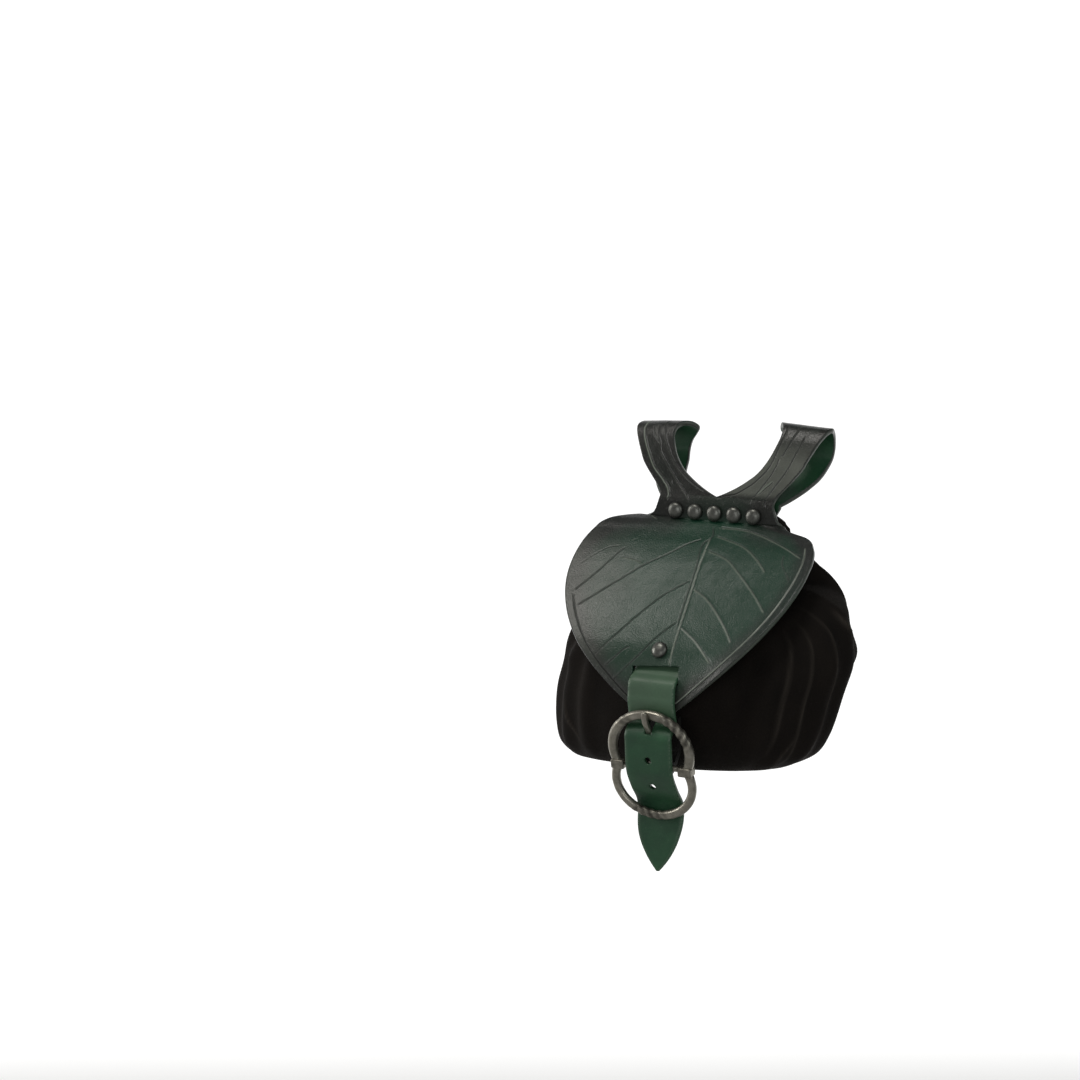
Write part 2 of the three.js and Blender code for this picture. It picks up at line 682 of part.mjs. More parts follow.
// Closing strap: how far its middle line stands from the leaf's and the buckle's middle
const behindLeaf = leather / 2 + clearance + strapThick / 2;
const beforeLeaf = -behindLeaf - 2 * clearance - leafDish * (strapWidth / leafWidth) ** 2;
const behindRim = -(rimThick / 2 + 3 * clearance + strapThick / 2);
const barLoop = Math.max(tabLoop, prongLoop);
const overBar = -barSetBack + barWidth / 2 + clearance + barLoop + clearance + strapThick / 2;
const overProng = prongThick / 2 + clearance + strapThick / 2 - overProngEase;

// The strap along the leaf: drop in millimetres below the rivet row, away from the leaf's middle surface
const strapOnLeaf = [
  { drop: strapEndDrop, away: behindLeaf },
  { drop: flapRivetDrop, away: behindLeaf },
  { drop: slitDrop - slitEase, away: behindLeaf * 0.94 },
  { drop: slitDrop, away: 0 },
  { drop: slitDrop + slitEase, away: beforeLeaf * 0.97 },
  { drop: mix(slitDrop, leafLength, 0.45), away: beforeLeaf },
];

// The strap through the buckle: up as a share of the lobe it lies in, out of the frame's middle
const strapOnBuckle = [
  { lobe: upperLobe, up: 1.1, out: behindRim },
  { lobe: upperLobe, up: 0.9, out: behindRim },
  { lobe: upperLobe, up: 0.735, out: behindRim },
  { lobe: upperLobe, up: 0.65, out: mix(overProng, behindRim, 0.46) },
  { lobe: upperLobe, up: 0.56, out: overProng * 0.8 },
  { lobe: upperLobe, up: 0.42, out: overProng },
  { lobe: upperLobe, up: 0.12, out: overBar },
  { lobe: lowerLobe, up: -0.08, out: overBar },
  { lobe: lowerLobe, up: -0.42, out: mix(overBar, behindRim, 0.46) },
  { lobe: lowerLobe, up: -0.71, out: behindRim },
];

// The tail below the lower rim, as shares of its length
const strapTailRows = [
  { drop: 0.0, forward: 0.0 },
  { drop: 0.25, forward: 0.04 },
  { drop: 0.6, forward: 0.055 },
];

function strapRoute() {
  const leaf = strapOnLeaf.map((row) =>
    new THREE.Vector3(0, row.away, 0).applyMatrix4(leafFrame(row.drop / leafLength))
  );
  const buckle = strapOnBuckle.map((row) => onFrame(0, row.out, row.up * row.lobe));
  const tailTop = onFrame(0, behindRim, rimWidth / 2 - lowerLobe);
  const tail = strapTailRows.map((row) =>
    tailTop.clone().add(new THREE.Vector3(0, -row.forward * strapTail, -row.drop * strapTail))
  );
  return [...leaf, ...buckle, ...tail];
}

// The pointed end, as shares of its length and of the strap's width
const tipRows = [
  { along: 0.0, width: 1.0 },
  { along: 0.3, width: 0.96 },
  { along: 0.55, width: 0.79 },
  { along: 0.78, width: 0.48 },
  { along: 0.93, width: 0.19 },
  { along: 1.0, width: 0.03 },
];

function strapGrid() {
  const route = new THREE.CatmullRomCurve3(strapRoute(), false, "centripetal");
  const length = route.getLength();
  const plain = length - tipLength;
  const even = Array.from({ length: strapSteps }, (_, i) => ({ place: (i / strapSteps) * plain, width: 1 }));
  const tip = tipRows.map((row) => ({ place: plain + tipLength * row.along, width: row.width }));
  return [...even, ...tip].map(({ place, width }) => {
    const middle = route.getPointAt(Math.min(place / length, 1));
    return Array.from({ length: strapColumns + 1 }, (_, j) =>
      middle.clone().setX((j / strapColumns - 0.5) * strapWidth * width)
    );
  });
}

function strapSkin() {
  const middle = strapGrid();
  const normals = gridNormals(middle);
  const front = offsetGrid(middle, normals, -strapThick / 2);
  const back = offsetGrid(middle, normals, strapThick / 2);
  const last = middle.length - 1;
  const skin = new Skin();
  for (let i = 0; i < last; i += 1) {
    for (let j = 0; j < strapColumns; j += 1) {
      skin.quad(front[i][j], front[i + 1][j], front[i + 1][j + 1], front[i][j + 1]);
      skin.quad(back[i][j], back[i][j + 1], back[i + 1][j + 1], back[i + 1][j]);
    }
    skin.quad(front[i][0], back[i][0], back[i + 1][0], front[i + 1][0]);
    const j = strapColumns;
    skin.quad(front[i][j], front[i + 1][j], back[i + 1][j], back[i][j]);
  }
  for (let j = 0; j < strapColumns; j += 1) {
    skin.quad(front[0][j], front[0][j + 1], back[0][j + 1], back[0][j]);
    skin.quad(front[last][j], back[last][j], back[last][j + 1], front[last][j + 1]);
  }
  return skin.geometry();
}

function strapHoles() {
  const level = (up) => placeOnFrame(holeTool(holeWidth, toolLength, new THREE.Matrix4()), 0, 0, up);
  return [level(firstHole), level(firstHole - holePitch), flapHole(), prongShape(clearance)];
}

// Finishes, from the photograph
const finish = (colour, roughness, metalness) =>
  new THREE.MeshStandardMaterial({ color: colour, roughness, metalness });
const leafFinish = finish(0x2b4436, 0.5, 0);
const strapFinish = finish(0x2e4e36, 0.55, 0);
const tabFinish = finish(0x1c211d, 0.6, 0);
const velvetFinish = finish(0x14110f, 0.95, 0);
const rivetFinish = finish(0x4a4946, 0.35, 0.9);
const pewterFinish = finish(0x77736a, 0.4, 0.95);

const pouch = new THREE.Group();

function addPiece(name, shape, material, frame) {
  const piece = new THREE.Mesh(shape, material);
  piece.name = name;
  if (frame) piece.applyMatrix4(frame);
  pouch.add(piece);
}

addPiece("leaf_flap", cutAway(flapSkin(), [...rowHoles(), flapHole(), slitTool()]), leafFinish);
addPiece("pouch_bag", cutAway(bagSkin(), rowHoles()), velvetFinish);

for (let i = 0; i < rivetCount; i += 1) {
  const isMiddle = i === (rivetCount - 1) / 2;
  const seat = new THREE.Matrix4().makeTranslation(rivetX(i), -leather / 2 - clearance, rowZ);
  addPiece(`yoke_rivet_${i + 1}`, rivetShape(isMiddle ? middleGrip : yokeGrip), rivetFinish, seat);
}

const flapSeat = leafFrame(rivetDrop).multiply(
  new THREE.Matrix4().makeTranslation(0, -leather / 2 - clearance, 0)
);
addPiece("flap_rivet", rivetShape(flapGrip), rivetFinish, flapSeat);
addPiece("closing_strap", cutAway(strapSkin(), strapHoles()), strapFinish);
addPiece("buckle_frame", buckleShape(), pewterFinish);
addPiece("buckle_prong", prongBody(), pewterFinish);
addPiece("buckle_tab", tabShape(), tabFinish);

export default pouch;
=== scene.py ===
# Medieval belt pouch: the looks. Sizes are in millimetres and become metres where a mesh is made.
import math

import bmesh
import bpy
import numpy as np
from mathutils import Matrix, Vector


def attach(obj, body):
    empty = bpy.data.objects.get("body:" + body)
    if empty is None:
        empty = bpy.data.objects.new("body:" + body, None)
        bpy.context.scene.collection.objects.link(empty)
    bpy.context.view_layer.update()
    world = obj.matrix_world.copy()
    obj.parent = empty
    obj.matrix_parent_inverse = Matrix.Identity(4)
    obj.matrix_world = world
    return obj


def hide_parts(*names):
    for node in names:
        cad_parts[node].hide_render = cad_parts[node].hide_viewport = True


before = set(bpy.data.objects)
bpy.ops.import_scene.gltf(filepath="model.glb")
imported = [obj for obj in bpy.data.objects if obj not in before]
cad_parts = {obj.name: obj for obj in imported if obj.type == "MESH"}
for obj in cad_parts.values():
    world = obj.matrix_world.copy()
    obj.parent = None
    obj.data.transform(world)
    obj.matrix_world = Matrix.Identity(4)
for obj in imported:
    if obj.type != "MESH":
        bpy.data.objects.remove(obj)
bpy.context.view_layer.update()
metre = 1000.0
weldGap = 0.001 / metre
waveCount = 5
cutThrough = 24  # how deep the tools reach that cut leather
print("stage: frame loaded")


# Tables and curves

# A table's rows, each with the named columns
def table(names, rows):
    return [dict(zip(names.split(), row)) for row in rows]


# A smooth value between the rows of a table
def lookUp(rows, along, column, places):
    at = np.array([row[along] for row in rows], float)
    value = np.array([row[column] for row in rows], float)
    rise = np.diff(value) / np.diff(at)
    slope = np.concatenate([rise[:1], (rise[1:] + rise[:-1]) / 2, rise[-1:]])
    places = np.asarray(places, float)
    i = np.clip(np.searchsorted(at, places, side="right") - 1, 0, len(at) - 2)
    span = at[i + 1] - at[i]
    t = np.clip((places - at[i]) / span, 0, 1)
    low = value[i] * (2 * t**3 - 3 * t**2 + 1) + slope[i] * span * (t**3 - 2 * t**2 + t)
    return low + value[i + 1] * (3 * t**2 - 2 * t**3) + slope[i + 1] * span * (t**3 - t**2)


def lengths(vectors):
    return np.linalg.norm(vectors, axis=-1, keepdims=True)


def unit(vectors):
    return vectors / np.maximum(lengths(vectors), 1e-9)


# How far each point lies along the line through all of them
def walkedTo(points):
    return np.concatenate([[0], np.cumsum(lengths(np.diff(points, axis=0))[:, 0])])


# A smooth curve through key points, which may be whole rows of points at once
def curveAt(keys, place):
    keys = np.asarray(keys, float)
    count = len(keys) - 1
    i = int(min(max(math.floor(place * count), 0), count - 1))
    t = place * count - i
    b, c = keys[i], keys[i + 1]
    a = keys[i - 1] if i > 0 else 2 * b - c
    d = keys[i + 2] if i + 2 <= count else 2 * c - b
    ab, bc, cd = (np.maximum(lengths(step) ** 0.5, 1e-4) for step in (b - a, c - b, d - c))
    leave = ((b - a) / ab - (c - a) / (ab + bc) + (c - b) / bc) * bc
    arrive = ((c - b) / bc - (d - b) / (bc + cd) + (d - c) / cd) * bc
    bend = -3 * b + 3 * c - 2 * leave - arrive
    return b + leave * t + bend * t**2 + (2 * b - 2 * c + leave + arrive) * t**3


# Points at even steps along a smooth curve through the keys
def evenPath(keys, step):
    keys = np.asarray(keys, float)
    rough = np.array([curveAt(keys, k) for k in np.linspace(0, 1, (len(keys) - 1) * 24 + 1)])
    walked = walkedTo(rough)
    count = max(int(round(walked[-1] / step)), 2)
    places = np.linspace(0, walked[-1], count + 1)
    return np.stack([np.interp(places, walked, rough[:, k]) for k in range(rough.shape[1])], axis=1)


def softStep(low, high, value):
    t = np.clip((value - low) / (high - low), 0, 1)
    return t * t * (3 - 2 * t)


# Seeded smooth noise in space, for hand-made unevenness in the meshes
def waves(points, size, seed):
    dice = np.random.default_rng(seed)
    total = np.zeros(points.shape[:-1])
    for _ in range(waveCount):
        way = dice.normal(size=3)
        way /= np.linalg.norm(way)
        length = size * dice.uniform(0.7, 1.5)
        total += np.sin(points @ way * (2 * math.pi / length) + dice.uniform(0, 6.3))
    return total / waveCount


# A circle's cosine or sine, pressed towards a square
def squared(value, power):
    return np.sign(value) * np.abs(value) ** power


# Meshes

def linked(name, data):
    made = bpy.data.objects.new(name, data)
    bpy.context.scene.collection.objects.link(made)
    return made


class MeshMaker:
    def __init__(self):
        self.points = []
        self.faces = []
        self.marks = []
        self.count = 0

    def add(self, points, faces, marks=None):
        points = np.asarray(points, float).reshape(-1, 3)
        self.points.append(points)
        self.faces.extend((np.asarray(faces) + self.count).tolist())
        self.marks.append({key: np.asarray(value).reshape(-1) for key, value in (marks or {}).items()})
        self.count += len(points)

    def grid(self, points, flip=False, ring=False, marks=None):
        rows, columns = points.shape[:2]
        i = np.arange(rows - 1)[:, None] * columns
        j = np.arange(columns if ring else columns - 1)[None, :]
        k = (j + 1) % columns
        quads = np.stack([i + j, i + k, i + columns + k, i + columns + j], axis=-1).reshape(-1, 4)
        self.add(points, quads[:, ::-1] if flip else quads, marks)

    def fan(self, ring, centre):
        count = len(ring)
        wheel = np.arange(count)
        faces = np.stack([np.full(count, count), wheel, (wheel + 1) % count], axis=1)
        self.add(np.vstack([ring, centre]), faces)

    # One object from all the grids, welded where they meet. With outward, its faces are turned out.
    def piece(self, name, outward=False):
        mesh = bpy.data.meshes.new(name)
        mesh.from_pydata((np.concatenate(self.points) / metre).tolist(), [], self.faces)
        for key in sorted({key for marks in self.marks for key in marks}):
            parts = [marks.get(key, np.zeros(len(points))) for marks, points in zip(self.marks, self.points)]
            layer = mesh.attributes.new(key, "FLOAT", "POINT")
            layer.data.foreach_set("value", np.concatenate(parts).astype(np.float32))
        work = bmesh.new()
        work.from_mesh(mesh)
        bmesh.ops.remove_doubles(work, verts=work.verts, dist=weldGap)
        if outward:
            bmesh.ops.recalc_face_normals(work, faces=work.faces)
        work.to_mesh(mesh)
        work.free()
        mesh.shade_smooth()
        return linked(name, mesh)


def gridNormals(grid):
    return unit(np.cross(np.gradient(grid, axis=1), np.gradient(grid, axis=0)))


def settle(piece, material, node):
    piece.data.materials.clear()
    piece.data.materials.append(material)
    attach(piece, "root")
    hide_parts(node)


def toMatrix(axes, place):
    matrix = Matrix(axes.tolist()).to_4x4()
    matrix.translation = Vector((place / metre).tolist())
    return matrix


def sized(size):
    return Matrix.Diagonal((*[part / metre for part in size], 1))


def addRod(work, radius, length, sides, matrix):
    ends = {"radius1": radius / metre, "radius2": radius / metre, "depth": length / metre}
    bmesh.ops.create_cone(work, cap_ends=True, segments=sides, matrix=matrix, **ends)


# Solids that a piece is cut with
def boxTool(size, matrix):
    work = bmesh.new()
    bmesh.ops.create_cube(work, size=1, matrix=matrix @ sized(size))
    return toolFrom(work)


def holeTool(radius, length, matrix):
    work = bmesh.new()
    addRod(work, radius, length, 28, matrix)
    return toolFrom(work)


def toolFrom(work):
    mesh = bpy.data.meshes.new("tool")
    work.to_mesh(mesh)
    work.free()
    return linked("tool", mesh)


def cutWith(piece, tools):
    for tool in tools:
        cut = piece.modifiers.new("cut", "BOOLEAN")
        cut.operation = "DIFFERENCE"
        cut.solver = "EXACT"
        cut.object = tool
        with bpy.context.temp_override(object=piece):
            bpy.ops.object.modifier_apply(modifier="cut")
        bpy.data.objects.remove(tool)
    piece.data.shade_smooth()


# Shader maths: a small wrapper round a socket, so that a formula reads as one

class Value:
    def __init__(self, look, socket):
        self.look = look
        self.socket = socket

    def maths(self, operation, *others, front=False):
        made = self.look.tree.nodes.new("ShaderNodeMath")
        made.operation = operation
        sources = [*others, self] if front else [self, *others]
        for source, socket in zip(sources, made.inputs):
            self.look.join(socket, source)
        return Value(self.look, made.outputs[0])

    def __add__(self, other):
        return self.maths("ADD", other)

    def __sub__(self, other):
        return self.maths("SUBTRACT", other)

    def __mul__(self, other):
        return self.maths("MULTIPLY", other)

    def __truediv__(self, other):
        return self.maths("DIVIDE", other)

    def __rsub__(self, other):
        return self.maths("SUBTRACT", other, front=True)

    def __rtruediv__(self, other):
        return self.maths("DIVIDE", other, front=True)

    __radd__ = __add__
    __rmul__ = __mul__

    def between(self, low, high):
        share = (self - low) / (high - low)
        return share.maths("MAXIMUM", 0.0).maths("MINIMUM", 1.0)


class Look:
    def __init__(self, name):
        self.material = bpy.data.materials.new(name)
        self.material.use_nodes = True
        self.tree = self.material.node_tree
        self.tree.nodes.clear()
        self.place = self.node("TexCoord").outputs["Object"]

    def join(self, socket, source):
        if isinstance(source, Value):
            source = source.socket
        if isinstance(source, bpy.types.NodeSocket):
            self.tree.links.new(source, socket)
        else:
            socket.default_value = source

    def node(self, kind, settings=None, sockets=None):
        made = self.tree.nodes.new("ShaderNode" + kind)
        for key, value in (settings or {}).items():
            setattr(made, key, value)
        for key, value in (sockets or {}).items():
            self.join(made.inputs[key], value)
        return made

    def noise(self, size, detail=3.0, roughness=0.55, stretch=(1, 1, 1)):
        spread = self.node("Mapping", None, {"Vector": self.place, "Scale": stretch}).outputs[0]
        sockets = {"Vector": spread, "Scale": metre / size, "Detail": detail, "Roughness": roughness}
        return Value(self, self.node("TexNoise", None, sockets).outputs["Fac"])

    def cells(self, size):
        sockets = {"Vector": self.place, "Scale": metre / size, "Randomness": 1.0}
        return Value(self, self.node("TexVoronoi", {"feature": "F1"}, sockets).outputs["Distance"])

    def mark(self, name):
        return Value(self, self.node("Attribute", {"attribute_name": name}).outputs["Fac"])

    def along(self, axis):
        parts = self.node("SeparateXYZ", None, {"Vector": self.place})
        return Value(self, parts.outputs[axis]) * metre

    def mix(self, share, low, high):
        settings = {"data_type": "RGBA", "clamp_factor": True}
        return self.node("Mix", settings, {0: share, 6: low, 7: high}).outputs[2]

    def finish(self, colour, height, bumpDepth, sockets):
        bump = self.node("Bump", None, {"Height": height, "Distance": bumpDepth / metre, "Strength": 1.0})
        given = {"Base Color": colour, "Normal": bump.outputs[0], **sockets}
        surface = self.node("BsdfPrincipled", None, given)
        self.node("OutputMaterial", None, {"Surface": surface.outputs[0]})
        return self.material


# A colour as seen on a screen, from 0 to 255, in the numbers that the shaders take
def tint(*colour):
    parts = [part / 255 for part in colour]
    linear = [part / 12.92 if part <= 0.04045 else ((part + 0.055) / 1.055) ** 2.4 for part in parts]
    return (*linear, 1.0)


# Antiqued tooled leather: green in the middle, near black where the dye was rubbed in, fine grain, with a
# painted sheen and painted highlights on the lips of the lines
leafLook = {
    "green": tint(18, 54, 38),
    "deep": tint(22, 26, 23),
    "brown": tint(25, 25, 22),
    "sheenGrey": tint(92, 95, 88),
    "wearAndHighlight": tint(128, 136, 124),
    "groove": tint(5, 7, 6),
    "grain": 0.7,
}


def leafMaterial():
    look = Look("tooled green leather")
    patches = look.noise(26, 3.0, 0.6)
    speckle = look.noise(1.3, 2.0, 0.6)
    rub = (look.mark("rub") + (patches - 0.5) * 0.7).between(0.08, 0.9)
    base = look.mix(rub, leafLook["green"], leafLook["deep"])
    base = look.mix(look.mark("yoke") * (0.45 + patches * 0.6), base, leafLook["brown"])
    # Painted sheen: a pale grey laid on the leaf's left and lower part and on the right loop's front
    base = look.mix(look.mark("pale") * (0.35 + patches * 0.9), base, leafLook["sheenGrey"])
    base = look.mix((speckle - 0.62).between(0.0, 0.12) * 0.16, base, leafLook["wearAndHighlight"])
    base = look.mix(look.mark("dark") * 0.9, base, leafLook["groove"])
    # Painted highlight on one lip of each tooled line, and lighter cut edges
    base = look.mix(look.mark("light") * (0.6 + speckle * 0.6), base, leafLook["wearAndHighlight"])
    grain = look.cells(leafLook["grain"])
    creases = look.noise(7, 4.0, 0.62, (1, 1, 0.5))
    rough = 0.32 + (patches - 0.5) * 0.14 + (speckle - 0.5) * 0.12 + look.mark("dark") * 0.2
    height = grain * 0.5 + look.noise(0.9, 3.0, 0.7) * 0.9 + creases * 0.9
    sockets = {"Roughness": rough, "Specular IOR Level": 0.45, "Coat Weight": 0.05, "Coat Roughness": 0.4}
    return look.finish(base, height, 0.13, sockets)


# Smooth dyed leather of the closing strap and the inner side of the loops
strapLook = {
    "green": tint(32, 78, 48),
    "deep": tint(22, 58, 38),
    # the edge colour also paints the sheen on the strap's top part
    "edge": tint(92, 112, 92),
    "dirt": tint(14, 24, 18),
}


def strapMaterial():
    look = Look("smooth green leather")
    patches = look.noise(18, 3.0, 0.55)
    speckle = look.noise(0.9, 2.0, 0.6)
    base = look.mix(patches.between(0.3, 0.7), strapLook["deep"], strapLook["green"])
    base = look.mix((speckle - 0.6).between(0.0, 0.14) * 0.16, base, strapLook["edge"])
    # Lighter near the edges, with a painted sheen on the strap's top part
    base = look.mix(look.mark("light") * 0.5, base, strapLook["edge"])
    base = look.mix(look.mark("dark") * 0.75, base, strapLook["dirt"])
    rough = 0.45 + (patches - 0.5) * 0.16 + (speckle - 0.5) * 0.1
    height = look.cells(0.45) * 0.5 + look.noise(5, 4.0, 0.6) * 0.8
    return look.finish(base, height, 0.06, {"Roughness": rough, "Coat Weight": 0.05, "Coat Roughness": 0.4})


# Velvet: near black, with a short pile that lies this way and that
velvetLook = {
    "shade": tint(10, 7, 5),
    "pile": tint(29, 24, 20),
    # ridge is the painted highlight along the fold ridges
    "ridge": tint(74, 68, 62),
}


def velvetMaterial():
    look = Look("black velvet")
    lay = look.noise(16, 3.0, 0.6, (1, 1, 0.45))
    pile = look.noise(0.6, 2.0, 0.7)
    shine = (lay * 0.8 + pile * 0.4 - 0.3).between(0.05, 0.75)
    base = look.mix(shine, velvetLook["shade"], velvetLook["pile"])
    # Painted highlights along the sharp fold ridges
    base = look.mix(look.mark("ridge") * (0.3 + pile * 0.5) * 0.8, base, velvetLook["ridge"])
    height = pile * 1.0 + look.noise(2.4, 3.0, 0.6) * 0.7
    sockets = {
        "Roughness": 0.86 + (lay - 0.5) * 0.15,
        "Specular IOR Level": 0.15,
        "Sheen Weight": 0.07,
        "Sheen Roughness": 0.35,
        "Sheen Tint": tint(120, 104, 92),
    }
    return look.finish(base, height, 0.16, sockets)


# Cast pewter: worn bright where it is touched, dark in the cuts and pits
def castMaterial(name, colours):
    look = Look(name)
    cloud = look.noise(4.5, 4.0, 0.62)
    pits = look.cells(0.9)
    dull = ((cloud - 0.5) * 1.1 + 0.35 + look.mark("dark") * 0.9).between(0.0, 1.0)
    base = look.mix(dull, colours["bright"], colours["dark"])
    rough = colours["rough"] + dull * 0.22
    height = look.noise(1.1, 3.0, 0.6) * 0.8 + pits * 0.3
    sockets = {"Metallic": 0.95 - dull * 0.25, "Roughness": rough}
    return look.finish(base, height, colours["relief"], sockets)


pewter = {"bright": tint(172, 168, 156), "dark": tint(52, 50, 45), "rough": 0.28, "relief": 0.1}
gunmetal = {"bright": tint(118, 119, 114), "dark": tint(44, 45, 43), "rough": 0.3, "relief": 0.04}

leafLeather = leafMaterial()
strapLeather = strapMaterial()
velvet = velvetMaterial()
pewterMetal = castMaterial("aged pewter", pewter)
rivetMetal = castMaterial("dark domed metal", gunmetal)
print("stage: materials")


# Shared sizes, as in the CAD model
shared = {
    "leather": 2.6,
    "strapThick": 2.4,
    "cloth": 1.6,
    "clearance": 0.3,
    "clothGap": 0.6,
    "rowDrop": 43,
    "rivetPitch": 11.3,
    "flapRivetDrop": 62.8,
}
rowZ = -shared["rowDrop"]

leaf = {
    "length": 97,
    "half": 66,
    "reach": 66,
    "dish": 15,
    "columns": 121,
    "step": 0.5,
    "slitDrop": 74.6,
    "slitHeight": 9.6,
    "slitWidth": 26.6,
    "slitTurn": -5,
    "border": 4.1,
    "borderTops": {1: 0.125, -1: 0.42},
    "borderEnd": 0.985,
}

leafRows = table("drop left right reach dish", [
    (0, 0.524, 0.524, 0, 0),
    (0.028, 0.562, 0.545, 0, 0),
    (0.048, 0.66, 0.59, 0, 0),
    (0.057, 0.77, 0.625, 0.016, 0.2),
    (0.066, 0.855, 0.665, 0.036, 0.34),
    (0.084, 0.92, 0.86, 0.072, 0.42),
    (0.116, 0.958, 0.95, 0.134, 0.44),
    (0.164, 0.988, 1, 0.234, 0.44),
    (0.22, 1, 1.01, 0.336, 0.45),
    (0.275, 0.999, 1.004, 0.422, 0.48),
    (0.33, 0.984, 0.984, 0.502, 0.53),
    (0.39, 0.95, 0.95, 0.59, 0.58),
    (0.45, 0.902, 0.902, 0.674, 0.63),
    (0.51, 0.843, 0.843, 0.752, 0.68),
    (0.57, 0.774, 0.774, 0.824, 0.72),
    (0.63, 0.696, 0.696, 0.888, 0.77),
    (0.69, 0.61, 0.61, 0.934, 0.83),
    (0.75, 0.518, 0.518, 0.966, 0.9),
    (0.81, 0.42, 0.42, 0.985, 0.96),
    (0.87, 0.318, 0.318, 0.995, 1),
    (0.93, 0.205, 0.205, 0.994, 1),
    (0.975, 0.115, 0.115, 0.984, 1),
    (1, 0.045, 0.045, 0.976, 1),
])

loop = {
    "reach": 31.5,
    "spread": 56,
    "uneven": 3,
    "innerLift": 1.8,
    "corner": 0.05,
    "cornerReach": 1.3,
    "endMargin": 9.4,
    "columns": 57,
    "step": 0.5,
}

loopRows = table("at height back near far", [
    (0, 0.1, 0, 0, 0.59),
    (1, 0.145, 0.022, 0, 0.582),
    (2, 0.186, 0.048, 0, 0.586),
    (3, 0.25, 0.08, 0.115, 0.612),
    (4, 0.32, 0.112, 0.215, 0.655),
    (5, 0.4, 0.144, 0.308, 0.708),
    (6, 0.48, 0.176, 0.385, 0.76),
    (7, 0.58, 0.214, 0.45, 0.816),
    (8, 0.69, 0.262, 0.502, 0.858),
    (9, 0.8, 0.322, 0.538, 0.9),
    (10, 0.9, 0.39, 0.562, 0.938),
    (11, 0.98, 0.48, 0.558, 0.972),
    (12, 1.022, 0.57, 0.53, 0.992),
    (13, 1.03, 0.66, 0.49, 1),
    (14, 1.006, 0.77, 0.455, 0.984),
    (15, 0.95, 0.876, 0.438, 0.966),
    (16, 0.87, 0.95, 0.485, 0.95),
    (17, 0.77, 0.992, 0.545, 0.936),
    (18, 0.66, 0.985, 0.57, 0.918),
    (19, 0.54, 0.88, 0.55, 0.892),
    (20, 0.43, 0.73, 0.53, 0.858),
    (21, 0.33, 0.556, 0.49, 0.8),
    (22, 0.246, 0.39, 0.43, 0.735),
    (23, 0.17, 0.235, 0.34, 0.66),
    (24, 0.125, 0.168, 0.27, 0.61),
])
neckRow = 2
topRow = 13

# The end of a loop behind the yoke: how far up from the rivets, and how far its two sides move out
endRows = table("up near far", [
    (4, 2.4, 2.4),
    (0, 0, 0),
    (-4.8, 0, 0),
    (-8, 2.4, -2.4),
])


# Half the leaf's width at a place down it, on the side that the sign of side names
def leafEdge(side, drop):
    left, right = (lookUp(leafRows, "drop", name, drop) for name in ("left", "right"))
    return np.where(np.asarray(side) < 0, left, right)


def leafPoint(share, drop):
    share, drop = np.broadcast_arrays(np.asarray(share, float), np.asarray(drop, float))
    reach = lookUp(leafRows, "drop", "reach", drop) * leaf["reach"]
    dish = lookUp(leafRows, "drop", "dish", drop) * leaf["dish"]
    return np.stack([share * leaf["half"], -reach - dish * share**2, rowZ - drop * leaf["length"]], axis=-1)


def loopPoint(side, at, share):
    at, share = np.broadcast_arrays(np.asarray(at, float), np.asarray(share, float))
    row = {key: lookUp(loopRows, "at", key, at) for key in ("height", "back", "far")}
    near = np.where(at > neckRow, lookUp(loopRows[neckRow:], "at", "near", at), 0)
    above = np.maximum(0, row["height"] - loopRows[neckRow]["height"])
    rise = above * (loop["innerLift"] * (1 - share) - (loop["uneven"] if side < 0 else 0))
    wearAndHighlight = loop["corner"] * np.exp(-(((at - topRow) / loop["cornerReach"]) ** 2))
    far = row["far"] - (wearAndHighlight if side < 0 else 0)
    x = (near + (far - near) * share) * loop["spread"] * side
    z = rowZ + row["height"] * shared["rowDrop"] + rise
    return np.stack([x, row["back"] * loop["reach"], z], axis=-1)


# The tooled lines, cut by hand. A path is a list of places on the leaf, as shares of its half width and its
# length, or on a loop, as places along its rows and across its width. dark and light say how a line reads.
# light is the strength of the painted highlight on a line's lip
dark, pale, faint = table("depth width dark light bevel", [
    (0.42, 0.37, 1, 0.1, 0),
    (0.42, 0.37, 0.75, 1, 0.2),
    (0.24, 0.33, 0.8, 0.1, 0),
])

